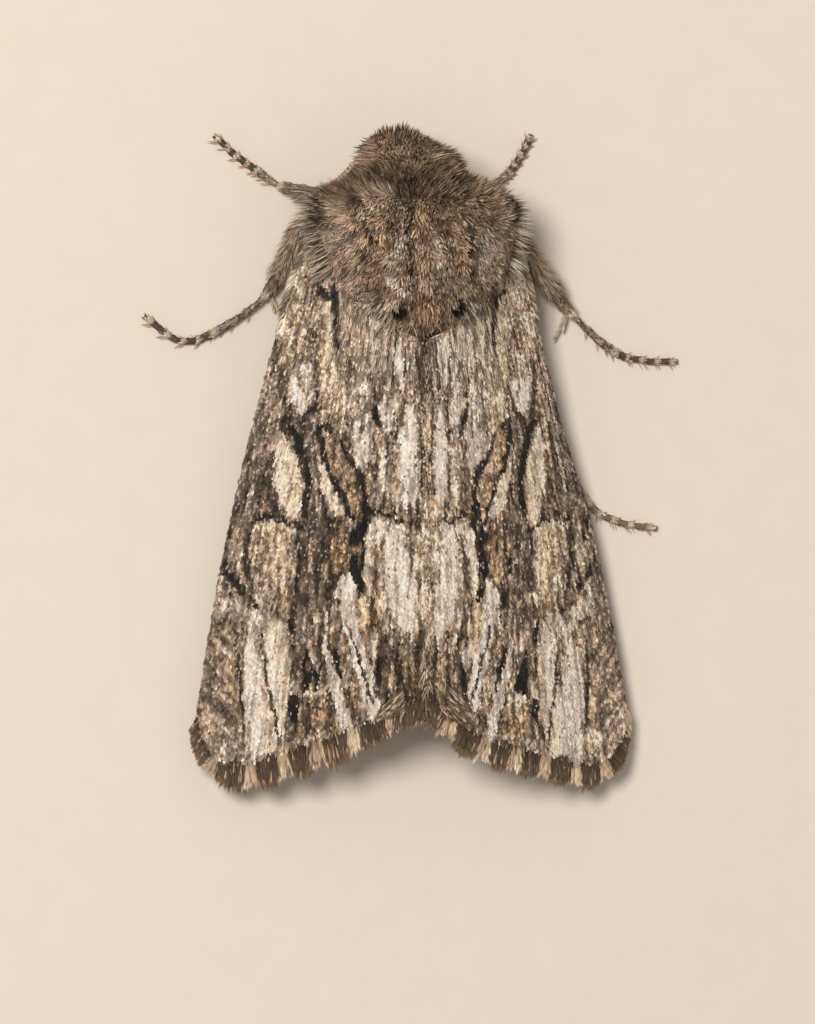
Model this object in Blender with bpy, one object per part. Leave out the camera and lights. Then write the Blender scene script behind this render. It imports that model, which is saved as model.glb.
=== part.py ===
"""A resting owlet moth, life size: head, eyes, palps, feelers, thorax, abdomen, four wings and six legs.

Run with: blender --background --python part.py
Lengths below are millimetres, turned to metres by MM. The head points along -Y, +Z is up, +X is the
moth's left, and the origin lies on the floor under the middle of the model.
"""

import math

import bmesh
import bpy
from mathutils import Vector

MM = 0.001

# Driving sizes, in millimetres.
GAP = 0.12  # clearance between neighbouring solids
WING_THICK = 0.5
TARSUS_RADIUS = 0.25
TARSUS_HEIGHT = 0.22  # axis of a foot above the floor, a little under its radius, so the floor cuts a flat
TIP_RADIUS = 0.15
FEELER_RADIUS = 0.25
EYE_RADIUS = 0.5
EYE_PLACE = (0.7, -9.25, 2.45)

# The forewing in plan: it starts beside the thorax and runs back to the fringe.
WING_FRONT = -6.7
COSTA_FRONT = 3.28  # half width over the leading edges at WING_FRONT
COSTA_SLOPE = 0.3127
COSTA_CURVE = 0.00566
ROW_REACH = 0.25  # along Y, about half the distance between two rows of the wing's grid
MIDLINE_GAP = 0.08  # half the clearance between the two wings at the ridge
# Where the fringe ends, by share of the way from the midline to the leading edge.
WING_END = ((0.0, 7.55), (0.05, 7.9), (0.16, 8.62), (0.34, 9.15), (0.55, 9.62), (0.72, 9.87), (0.86, 9.9),
            (0.93, 9.62), (0.97, 9.25), (1.0, 8.7))
# Top of the roofed wings, along Y, on the midline and on the leading edge.
RIDGE_TOP = ((-6.7, 4.45), (-3.5, 4.5), (0.0, 4.3), (4.0, 3.95), (7.0, 3.6), (10.0, 3.2))
COSTA_TOP = ((-6.7, 2.5), (-5.0, 1.95), (-3.0, 1.6), (0.0, 1.25), (4.0, 1.02), (8.5, 0.86), (10.0, 0.76))
ROOF_POWER = 1.4  # above 1 the roof is flat at the ridge and steep at its edge

# The hindwing lies folded under the forewing.
HINDWING_FRONT = -3.0
HINDWING_INSET = 1.25  # from the forewing's leading edge
HINDWING_INNER = 0.25
HINDWING_DROP = 0.78  # of its top below the top of the forewing
HINDWING_SHORTER = 1.5  # than the forewing, at its end

# In front of BEND_START the body bends to the moth's left, by BEND_REACH at HEAD_FRONT.
BEND_START, BEND_REACH, HEAD_FRONT = -6.6, 0.7, -10.1

# Body forms, from front to back: place along Y, half width, top, height of the widest line, bottom.
HEAD = ((HEAD_FRONT, 0.6, 3.6, 3.0, 2.4), (-9.75, 0.98, 3.9, 2.9, 2.0), (-9.4, 1.2, 4.1, 2.8, 1.75),
        (-8.98, 1.48, 4.2, 2.8, 1.8))
HEAD_BLUNTNESS = 2.8
THORAX = ((-8.86, 1.9, 4.5, 3.15, 2.1), (-8.4, 2.35, 4.95, 3.05, 1.8), (-8.05, 3.0, 5.15, 3.0, 1.62),
          (-7.6, 3.15, 5.28, 2.95, 1.52), (-6.5, 3.0, 5.3, 2.9, 1.5), (-5.4, 2.6, 5.1, 2.9, 1.5),
          (-4.4, 1.95, 4.8, 2.95, 1.7), (-3.7, 1.25, 4.55, 3.1, 2.2))
THORAX_BLUNTNESS = 4.5
ABDOMEN = ((-3.4, 1.5, 2.8, 1.95, 1.2), (-2.2, 1.7, 2.84, 1.75, 0.8), (0.5, 1.65, 2.75, 1.65, 0.62),
           (3.5, 1.25, 2.45, 1.5, 0.6), (5.4, 0.8, 2.1, 1.4, 0.75), (6.5, 0.5, 1.95, 1.4, 0.95))
ABDOMEN_BLUNTNESS = 3.0

# Each leg: hip, knee, ankle and the bends of the foot as (x, y, z), and the shin's greatest radius.
LEGS = {
    "foreleg_left": (
        0.33, (0.65, -7.1, 1.1), (1.75, -7.98, 1.08), (3.71, -8.45, 0.38),
        (4.47, -8.97, TARSUS_HEIGHT), (5.12, -9.45, TARSUS_HEIGHT), (5.62, -9.93, TARSUS_HEIGHT)),
    "foreleg_right": (
        0.32, (-0.45, -7.8, 1.1), (-1.62, -7.33, 1.1), (-2.6, -8.28, 0.38),
        (-3.31, -8.83, TARSUS_HEIGHT), (-3.7, -9.4, TARSUS_HEIGHT), (-3.92, -9.84, TARSUS_HEIGHT)),
    "midleg_left": (
        0.38, (0.6, -6.1, 1.1), (3.02, -7.4, 1.12), (4.28, -5.12, 0.38),
        (5.91, -4.02, TARSUS_HEIGHT), (6.91, -3.86, TARSUS_HEIGHT), (7.84, -4.55, TARSUS_HEIGHT)),
    "midleg_right": (
        0.4, (-0.6, -6.1, 1.1), (-3.1, -6.95, 1.15), (-5.13, -4.46, 0.4),
        (-6.51, -3.3, TARSUS_HEIGHT), (-7.45, -3.06, TARSUS_HEIGHT), (-8.27, -3.03, TARSUS_HEIGHT)),
    "hindleg_left": (
        0.34, (0.6, -4.75, 1.1), (2.2, -3.75, 1.1), (3.9, -0.6, 0.4),
        (4.5, 1.3, TARSUS_HEIGHT), (4.75, 2.6, TARSUS_HEIGHT), (4.85, 3.5, TARSUS_HEIGHT)),
    "hindleg_right": (
        0.34, (-0.6, -4.75, 1.1), (-2.2, -3.75, 1.1), (-4.45, -0.7, 0.4),
        (-5.62, 1.28, TARSUS_HEIGHT), (-6.5, 1.8, TARSUS_HEIGHT), (-7.58, 2.0, TARSUS_HEIGHT)),
}
HIP_RADIUS, THIGH_RADIUS, KNEE_RADIUS, ANKLE_RADIUS = 0.3, 0.4, 0.32, 0.27
LEG_STEPS = 2  # rings between two control points

# A feeler leaves the crown beside the eye and is tucked back beside the thorax and under the wing.
FEELER = ((1.12, -9.71, 3.05), (1.44, -9.36, 3.08), (1.86, -8.97, 2.98), (2.32, -8.59, 2.65), (2.66, -8.2, 2.2),
          (2.95, -7.73, 1.88), (3.05, -6.5, 1.62), (3.3, -5.0, 1.36), (3.7, -3.4, 1.1), (4.15, -1.9, 0.87))
FEELER_STEPS = 2
PALP = ((0.36, -9.2, 1.32, 0.25), (0.32, -9.62, 1.46, 0.28), (0.29, -9.8, 1.85, 0.24))
PALP_STEPS = 4

SCALE_BROWN = (0.20, 0.155, 0.11, 1.0)
SCALE_GREY = (0.33, 0.28, 0.23, 1.0)
LEG_BROWN = (0.22, 0.165, 0.12, 1.0)
HINDWING_GREY = (0.36, 0.32, 0.27, 1.0)
EYE_DARK = (0.03, 0.022, 0.018, 1.0)


def through(stations, place, column=1):
    """The value at a place of the smooth line through (place, value, ...) stations."""
    last = len(stations) - 1
    if place <= stations[0][0]:
        return stations[0][column]
    if place >= stations[last][0]:
        return stations[last][column]
    i = max(k for k in range(last) if stations[k][0] <= place)

    def slope(k):
        a, b = stations[max(k - 1, 0)], stations[min(k + 1, last)]
        return (b[column] - a[column]) / (b[0] - a[0])

    start, end = stations[i], stations[i + 1]
    span = end[0] - start[0]
    t = (place - start[0]) / span
    keep = 1 - 3 * t * t + 2 * t ** 3
    return (start[column] * keep + end[column] * (1 - keep)
            + span * slope(i) * (t - 2 * t * t + t ** 3) + span * slope(i + 1) * (t ** 3 - t * t))


def curve_points(points, steps):
    """Points along the smooth line through the given ones, with steps for each of its stretches."""
    rows = [(float(i), *point) for i, point in enumerate(points)]
    places = [i / steps for i in range((len(points) - 1) * steps + 1)]
    return [tuple(through(rows, place, c + 1) for c in range(len(points[0]))) for place in places]


def finish(name, color, roughness):
    """A plain material for one kind of surface."""
    material = bpy.data.materials.get(name) or bpy.data.materials.new(name)
    material.use_nodes = True
    shader = material.node_tree.nodes["Principled BSDF"]
    shader.inputs["Base Color"].default_value = color
    shader.inputs["Roughness"].default_value = roughness
    shader.inputs["Metallic"].default_value = 0.0
    return material


def add_object(name, data, material, group):
    obj = bpy.data.objects.new(name, data)
    data.materials.append(material)
    group.objects.link(obj)
    return obj


def mesh_from(bm, name):
    """A smooth-shaded mesh, in metres, from a bmesh in millimetres."""
    bmesh.ops.scale(bm, vec=(MM, MM, MM), verts=bm.verts)
    bmesh.ops.recalc_face_normals(bm, faces=bm.faces)
    data = bpy.data.meshes.new(name)
    bm.to_mesh(data)
    bm.free()
    data.shade_smooth()
    return data


def bend(y):
    """How far the body's middle lies to the moth's left."""
    return BEND_REACH * max(0.0, (BEND_START - y) / (BEND_START - HEAD_FRONT)) ** 1.3


def closing(axial, bluntness):
    """Share of its full width that a rounded form has, from -1 at its front end to 1 at its back."""
    return (1 - abs(axial) ** bluntness) ** (1 / bluntness)


def body_form(name, stations, around, along, bluntness, material, group):
    """A rounded form along Y: a sphere whose rings take their width, top and bottom from the stations."""
    front, back = stations[0][0], stations[-1][0]
    bm = bmesh.new()
    bmesh.ops.create_uvsphere(bm, u_segments=around, v_segments=along, radius=1.0)
    for vert in bm.verts:
        side, height, axial = vert.co.x, vert.co.y, vert.co.z
        ring = math.hypot(side, height)
        if ring > 1e-6:
            side, height = side / ring, height / ring
        close = closing(min(1.0, max(-1.0, axial)), bluntness)
        y = front + (back - front) * (1 + axial) / 2
        widest = through(stations, y, 3)
        reach = through(stations, y, 2) - widest if height > 0 else widest - through(stations, y, 4)
        vert.co = (bend(y) + side * through(stations, y) * close, y, widest + height * reach * close)
    return add_object(name, mesh_from(bm, name), material, group)


def thorax_reach(y):
    """Half width of the thorax solid."""
    front, back = THORAX[0][0], THORAX[-1][0]
    if not front < y < back:
        return 0.0
    return through(THORAX, y) * closing(2 * (y - front) / (back - front) - 1, THORAX_BLUNTNESS)


def costa(y):
    """Half width over the forewings' leading edges."""
    back = y - WING_FRONT
    return COSTA_FRONT + COSTA_SLOPE * back - COSTA_CURVE * back * back


def roof(x, y):
    """Height of the top of the folded forewings."""
    share = min(1.0, abs(x) / costa(y))
    ridge = through(RIDGE_TOP, y)
    return ridge - (ridge - through(COSTA_TOP, y)) * share ** ROOF_POWER


def wing_sheet(name, side, rows, columns, outline, drop, material, group):
    """One wing: a grid laid under the roof at a depth of drop, extruded straight down to its thickness."""
    bm = bmesh.new()
    bmesh.ops.create_grid(bm, x_segments=columns, y_segments=rows, size=1.0)
    for vert in bm.verts:
        across, back = (1 + vert.co.x) / 2, (1 + vert.co.y) / 2
        x, y = outline(across, back)
        vert.co = (side * x, y, roof(x, y) - drop)
    grown = bmesh.ops.extrude_face_region(bm, geom=bm.faces[:], use_keep_orig=True)
    for vert in grown["geom"]:
        if isinstance(vert, bmesh.types.BMVert):
            x, y, z = vert.co
            fall = (roof(x, y) - roof(abs(x) + 0.01, y)) / 0.01
            vert.co.z = z - WING_THICK * math.hypot(1, fall)
    return add_object(name, mesh_from(bm, name), material, group)


def wing_inner(y):
    """How far from the midline a forewing starts: it follows the thorax, then its neighbour."""
    reach = max(thorax_reach(y + step) for step in (-ROW_REACH, 0.0, ROW_REACH))
    return max(MIDLINE_GAP, reach + GAP)


def forewing_outline(across, back):
    share = 1 - (1 - across) ** 1.3  # closer columns towards the leading edge
    y = WING_FRONT + back * (through(WING_END, share) - WING_FRONT)
    return wing_inner(y) + share * (costa(y) - wing_inner(y)), y


def hindwing_outline(across, back):
    end = through(WING_END, 0.1 + 0.8 * across) - HINDWING_SHORTER
    y = HINDWING_FRONT + back * (end - HINDWING_FRONT)
    outer = costa(y) - HINDWING_INSET
    return HINDWING_INNER + across * (outer - HINDWING_INNER), y


def between(a, b, share):
    return tuple(a[i] + (b[i] - a[i]) * share for i in range(3))


def leg_points(shin_radius, joints):
    """Rings of a leg: a thigh and a shin that swell between their joints, and an even foot with a round tip."""
    hip, knee, ankle, *foot = joints
    knots = [(*hip, HIP_RADIUS), (*between(hip, knee, 0.4), THIGH_RADIUS),
             (*between(hip, knee, 0.8), KNEE_RADIUS), (*knee, KNEE_RADIUS),
             (*between(knee, ankle, 0.2), KNEE_RADIUS), (*between(knee, ankle, 0.6), shin_radius),
             (*ankle, ANKLE_RADIUS)]
    knots += [(*point, TARSUS_RADIUS) for point in foot]
    line = curve_points(knots, LEG_STEPS)
    (x, y, z, _), (x1, y1, z1, _) = line[-2:]
    length = math.dist((x, y, z), (x1, y1, z1))
    reach = 0.1 / length
    return line + [(x1 + (x1 - x) * reach, y1 + (y1 - y) * reach, z1, TIP_RADIUS)]


def tube(name, points, material, group, sides=1):
    """A tube through (x, y, z, radius) points, as a mesh with its caps welded."""
    line = bpy.data.curves.new(name + "_line", "CURVE")
    line.dimensions = "3D"
    line.bevel_depth = MM
    line.bevel_resolution = sides
    line.use_fill_caps = True
    spline = line.splines.new("POLY")
    spline.points.add(len(points) - 1)
    for knot, (x, y, z, radius) in zip(spline.points, points):
        knot.co = (x * MM, y * MM, z * MM, 1.0)
        knot.radius = radius
    guide = bpy.data.objects.new(name + "_line", line)
    group.objects.link(guide)
    bpy.context.view_layer.update()
    data = bpy.data.meshes.new_from_object(guide.evaluated_get(bpy.context.evaluated_depsgraph_get()))
    bpy.data.objects.remove(guide)
    bm = bmesh.new()
    bm.from_mesh(data)
    bmesh.ops.remove_doubles(bm, verts=bm.verts, dist=0.001 * MM)
    bmesh.ops.recalc_face_normals(bm, faces=bm.faces)
    bm.to_mesh(data)
    bm.free()
    data.name = name
    data.shade_smooth()
    return add_object(name, data, material, group)


def flatten_feet(obj):
    """Cuts off what would lie under the floor, which leaves a small flat under the foot."""
    bm = bmesh.new()
    bm.from_mesh(obj.data)
    everything = bm.verts[:] + bm.edges[:] + bm.faces[:]
    cut = bmesh.ops.bisect_plane(bm, geom=everything, dist=1e-8, plane_co=(0, 0, 0), plane_no=(0, 0, -1),
                                 clear_outer=True)
    rim = [item for item in cut["geom_cut"] if isinstance(item, bmesh.types.BMEdge)]
    bmesh.ops.holes_fill(bm, edges=rim, sides=0)
    bmesh.ops.triangulate(bm, faces=[face for face in bm.faces if len(face.verts) > 4])
    bmesh.ops.recalc_face_normals(bm, faces=bm.faces)
    bm.to_mesh(obj.data)
    bm.free()


def eye_centre(side):
    x, y, z = EYE_PLACE
    return Vector((bend(y) + side * x, y, z))


def add_eye(name, side, material, group):
    bm = bmesh.new()
    bmesh.ops.create_uvsphere(bm, u_segments=16, v_segments=10, radius=EYE_RADIUS)
    bmesh.ops.translate(bm, vec=eye_centre(side), verts=bm.verts)
    return add_object(name, mesh_from(bm, name), material, group)


def cut_socket(head, side, material, cutters):
    """Takes the eye's place, with its clearance, out of the head."""
    bm = bmesh.new()
    bmesh.ops.create_uvsphere(bm, u_segments=16, v_segments=10, radius=EYE_RADIUS + GAP)
    bmesh.ops.translate(bm, vec=eye_centre(side), verts=bm.verts)
    cutter = add_object("socket_cutter", mesh_from(bm, "socket_cutter"), material, cutters)
    cutter.hide_render = True
    cutter.display_type = "WIRE"
    cut = head.modifiers.new("socket", "BOOLEAN")
    cut.operation = "DIFFERENCE"
    cut.object = cutter


def on_side(points, side):
    """The points of a left piece, or their mirror images, moved with the bend of the body."""
    return [(bend(y) + side * x, y, z, radius) for x, y, z, radius in points]


def build():
    for obj in list(bpy.data.objects):
        bpy.data.objects.remove(obj)
    moth = bpy.data.collections.new("moth")
    cutters = bpy.data.collections.new("cutters")
    for group in (moth, cutters):
        bpy.context.scene.collection.children.link(group)

    fur = finish("body_scales", SCALE_BROWN, 0.85)
    wing = finish("forewing_scales", SCALE_GREY, 0.75)
    under = finish("hindwing_scales", HINDWING_GREY, 0.8)
    leg = finish("leg_scales", LEG_BROWN, 0.8)
    eye = finish("eye", EYE_DARK, 0.25)

    head = body_form("head", HEAD, 20, 12, HEAD_BLUNTNESS, fur, moth)
    body_form("thorax", THORAX, 28, 22, THORAX_BLUNTNESS, fur, moth)
    body_form("abdomen", ABDOMEN, 18, 16, ABDOMEN_BLUNTNESS, fur, moth)
    for side, word in ((1, "left"), (-1, "right")):
        add_eye("eye_" + word, side, eye, moth)
        cut_socket(head, side, eye, cutters)
        wing_sheet("forewing_" + word, side, 28, 14, forewing_outline, 0.0, wing, moth)
        wing_sheet("hindwing_" + word, side, 12, 6, hindwing_outline, HINDWING_DROP, under, moth)
        feeler = [(*point, FEELER_RADIUS) for point in FEELER]
        tube("feeler_" + word, on_side(curve_points(feeler, FEELER_STEPS), side), leg, moth)
        tube("palp_" + word, on_side(curve_points(PALP, PALP_STEPS), side), fur, moth)
    for name, (shin_radius, *joints) in LEGS.items():
        flatten_feet(tube(name, leg_points(shin_radius, joints), leg, moth))


build()
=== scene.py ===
"""A resting owlet moth in its coat of scales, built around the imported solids.

Lengths in the tables are millimetres, turned to metres by MM. The head points along -Y, +Z is up and +X is
the moth's left. Wing marks are laid out in plan: x from the midline, y along the body.
"""

import math
from types import SimpleNamespace

import bmesh
import bpy
import numpy as np
from mathutils import Matrix, Vector
from mathutils.kdtree import KDTree


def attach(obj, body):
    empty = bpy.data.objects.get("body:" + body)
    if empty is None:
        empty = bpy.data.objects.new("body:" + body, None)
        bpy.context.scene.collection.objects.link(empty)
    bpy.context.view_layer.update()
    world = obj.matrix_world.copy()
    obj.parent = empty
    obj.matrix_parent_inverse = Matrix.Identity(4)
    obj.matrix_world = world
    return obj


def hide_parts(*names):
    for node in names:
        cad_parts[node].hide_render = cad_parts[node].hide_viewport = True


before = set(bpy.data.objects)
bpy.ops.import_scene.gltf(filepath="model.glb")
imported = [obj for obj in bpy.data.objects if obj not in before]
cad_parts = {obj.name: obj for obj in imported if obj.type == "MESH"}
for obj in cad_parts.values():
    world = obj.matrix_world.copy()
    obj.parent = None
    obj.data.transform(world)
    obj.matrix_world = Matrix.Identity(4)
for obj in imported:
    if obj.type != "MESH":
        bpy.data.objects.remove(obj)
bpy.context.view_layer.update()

MM = 0.001
UP = np.array((0.0, 0.0, 1.0))
chance = np.random.default_rng(20)
SIDES = (("left", 1, 40), ("right", -1, 60))  # name, sign of x and seed of each side's wings
BODY_SEED, LEG_SEED = 80, 90

# ------------------------ sizes, in millimetres
WING_FRONT, WING_BACK = -6.7, 9.2
WING_WIDTH = 6.6
COSTA_FRONT, COSTA_SLOPE, COSTA_CURVE = 3.28, 0.3127, 0.00566
RIDGE_TOP = ((-6.7, 4.45), (-3.5, 4.5), (0.0, 4.3), (4.0, 3.95), (7.0, 3.6), (10.0, 3.2))
COSTA_TOP = ((-6.7, 2.5), (-5.0, 1.95), (-3.0, 1.6), (0.0, 1.25), (4.0, 1.02), (8.5, 0.86), (10.0, 0.76))
ROOF_POWER = 1.4
MIDLINE_GAP = 0.06
# Where the wing's membrane ends and its fringe starts, by share of the way from midline to leading edge.
WING_EDGE = {
    1: ((0.0, 7.0), (0.06, 7.1), (0.12, 7.2), (0.17, 7.32), (0.235, 7.6), (0.3, 7.72), (0.43, 8.08),
        (0.55, 8.36), (0.69, 8.66), (0.8, 8.88), (0.88, 8.82), (0.94, 8.5), (0.975, 8.1), (1.0, 7.5)),
    -1: ((0.0, 7.0), (0.05, 7.2), (0.1, 7.45), (0.15, 7.65), (0.2, 7.9), (0.26, 8.15), (0.38, 8.4),
         (0.52, 8.62), (0.66, 8.86), (0.79, 9.02), (0.88, 8.95), (0.94, 8.6), (0.975, 8.15), (1.0, 7.5)),
}
EDGE_INSET = 0.06  # of a forewing's membrane inside its leading edge
VEINS = (0.1, 0.19, 0.27, 0.345, 0.42, 0.5, 0.585, 0.67, 0.76, 0.85)  # by share of the wing's width
SCALE_DEPTH = 0.12  # of the wing's skin below the top of the coat
WING_SHEET, HINDWING_SHEET = 0.16, 0.12  # thickness of the membranes with their lining of scales
HINDWING_FRONT, HINDWING_INSET, HINDWING_INNER = -3.0, 1.3, 0.3
HINDWING_DROP, HINDWING_SHORTER = 0.86, 2.2
# Middle and half width of each dark tuft of the fringe.
FRINGE_TUFTS = ((0.5, 0.5), (1.68, 0.42), (2.7, 0.36), (3.66, 0.37), (4.64, 0.37), (5.6, 0.36), (6.45, 0.3))
# Layers of the fringe: number of scales, length, width, lift, brightness.
FRINGE_LAYERS = ((800, 0.36, 0.075, 0.06, 0.7), (1300, 0.66, 0.055, 0.04, 0.95),
                 (1500, 0.82, 0.05, -0.01, 1.3))

BEND_START, BEND_REACH, HEAD_FRONT = -6.6, 0.7, -10.1
# Body forms: place along Y, half width, top, height of the widest line, bottom.
HEAD = ((HEAD_FRONT, 0.6, 3.6, 3.0, 2.4), (-9.75, 0.98, 3.9, 2.9, 2.0), (-9.4, 1.2, 4.1, 2.8, 1.75),
        (-8.98, 1.48, 4.2, 2.8, 1.8))
THORAX = ((-8.86, 1.9, 4.5, 3.15, 2.1), (-8.4, 2.35, 4.95, 3.05, 1.8), (-8.05, 3.0, 5.15, 3.0, 1.62),
          (-7.6, 3.15, 5.28, 2.95, 1.52), (-6.5, 3.0, 5.3, 2.9, 1.5), (-5.4, 2.6, 5.1, 2.9, 1.5),
          (-4.4, 1.95, 4.8, 2.95, 1.7), (-3.7, 1.25, 4.55, 3.1, 2.2))
ABDOMEN = ((-3.4, 1.5, 2.8, 1.95, 1.2), (-2.2, 1.7, 2.84, 1.75, 0.8), (0.5, 1.65, 2.75, 1.65, 0.62),
           (3.5, 1.25, 2.45, 1.5, 0.6), (5.4, 0.8, 2.1, 1.4, 0.75), (6.5, 0.5, 1.95, 1.4, 0.95))
HEAD_BLUNTNESS, THORAX_BLUNTNESS, ABDOMEN_BLUNTNESS = 2.8, 4.5, 3.0
HEAD_DEPTH, THORAX_DEPTH, ABDOMEN_DEPTH, PALP_DEPTH = 0.26, 0.3, 0.2, 0.12  # of the coat over each
ABDOMEN_RING = 1.15  # length of a segment of the abdomen
EYE_RADIUS, EYE_PLACE = 0.5, (0.7, -9.25, 2.45)
PALP = ((0.36, -9.2, 1.32, 0.25), (0.32, -9.62, 1.46, 0.28), (0.29, -9.8, 1.85, 0.24))
FEELER = ((0.82, -9.62, 3.05), (1.14, -9.27, 3.08), (1.56, -8.88, 2.98), (2.02, -8.5, 2.65),
          (2.48, -8.15, 2.2), (2.86, -7.7, 1.88), (3.05, -6.5, 1.62), (3.3, -5.0, 1.36), (3.7, -3.4, 1.1),
          (4.15, -1.9, 0.87))
FEELER_JOINT = 0.135
FOOT_HEIGHT = 0.16  # axis of a foot above the floor
# Each leg: radius of the skin at the shin, hip, knee, ankle and the bends of the foot.
LEGS = {
    "foreleg_left": (0.19, (0.65, -7.1, 1.1), (1.75, -7.98, 1.08), (3.71, -8.45, 0.36),
                     (4.47, -8.97), (5.12, -9.45), (5.62, -9.93)),
    "foreleg_right": (0.19, (-0.45, -7.8, 1.1), (-1.62, -7.33, 1.1), (-2.6, -8.28, 0.36),
                      (-3.31, -8.83), (-3.7, -9.4), (-3.92, -9.84)),
    "midleg_left": (0.21, (0.6, -6.1, 1.1), (3.02, -7.4, 1.12), (4.28, -5.12, 0.36),
                    (5.91, -4.02), (6.91, -3.86), (7.84, -4.55)),
    "midleg_right": (0.22, (-0.6, -6.1, 1.1), (-3.1, -6.95, 1.15), (-5.13, -4.46, 0.38),
                     (-6.51, -3.3), (-7.45, -3.06), (-8.27, -3.03)),
    "hindleg_left": (0.2, (0.6, -4.75, 1.1), (2.2, -3.75, 1.1), (3.9, -0.6, 0.38),
                     (4.5, 1.3), (4.75, 2.6), (4.85, 3.5)),
    "hindleg_right": (0.2, (-0.6, -4.75, 1.1), (-2.2, -3.75, 1.1), (-4.45, -0.7, 0.38),
                      (-5.62, 1.28), (-6.5, 1.8), (-7.58, 2.0)),
}
LEG_STEPS = 40  # points along a leg for each of its stages
SPINE_STAGES = (2.35, 2.6, 2.82, 2.95, 3.22, 3.47, 3.72, 3.93)
SPUR_STAGES = {"foreleg": (), "midleg": (1.93,), "hindleg": (1.45, 1.93)}
FLESH_VOXEL = 0.078
PATCH = 0.003  # size of a scale on its piece's map

CAMERA_TILT, CAMERA_ROLL = math.radians(9.0), math.radians(0.8)
CAMERA_AWAY = 400.0
VIEW_HEIGHT = 30.72  # of the moth's surroundings seen, at AIM's height
AIM = (-0.056 + 2.5 * math.tan(CAMERA_TILT), 1.41, 2.5)

# ------------------------ colours, linear
WHITE, CREAM = np.array(((0.82, 0.70, 0.60), (0.80, 0.65, 0.50)))
PALE, GREY, DUSK = np.array(((0.58, 0.475, 0.385), (0.37, 0.275, 0.205), (0.18, 0.133, 0.102)))
TAN, OCHRE, GOLD = np.array(((0.58, 0.43, 0.295), (0.43, 0.29, 0.175), (0.66, 0.45, 0.25)))
RUST, BROWN = np.array(((0.38, 0.225, 0.125), (0.21, 0.14, 0.09)))
UMBER, BLACK = np.array(((0.09, 0.06, 0.04), (0.022, 0.016, 0.012)))
UNDERSIDE, HINDWING_FRINGE = np.array(((0.34, 0.275, 0.21), (0.42, 0.34, 0.26)))
HEAD_BROWN, COLLAR_BROWN = np.array(((0.125, 0.083, 0.052), (0.19, 0.13, 0.088)))
BROW_BROWN, PALP_BROWN = np.array(((0.26, 0.185, 0.125), (0.28, 0.2, 0.145)))
FLANK_BUFF, BELLY_BUFF = np.array(((0.30, 0.235, 0.175), (0.36, 0.285, 0.215)))
HAIR_TAN, HAIR_PALE = np.array(((0.36, 0.27, 0.19), (0.55, 0.45, 0.35)))
LEG_RING, FEELER_RING = np.array(((0.62, 0.5, 0.38), (0.56, 0.45, 0.33)))
SPINE_BROWN, CLAW_BROWN, SPUR_BUFF = np.array(((0.5, 0.3, 0.21), (0.2, 0.1, 0.05), (0.62, 0.52, 0.4)))

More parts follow.
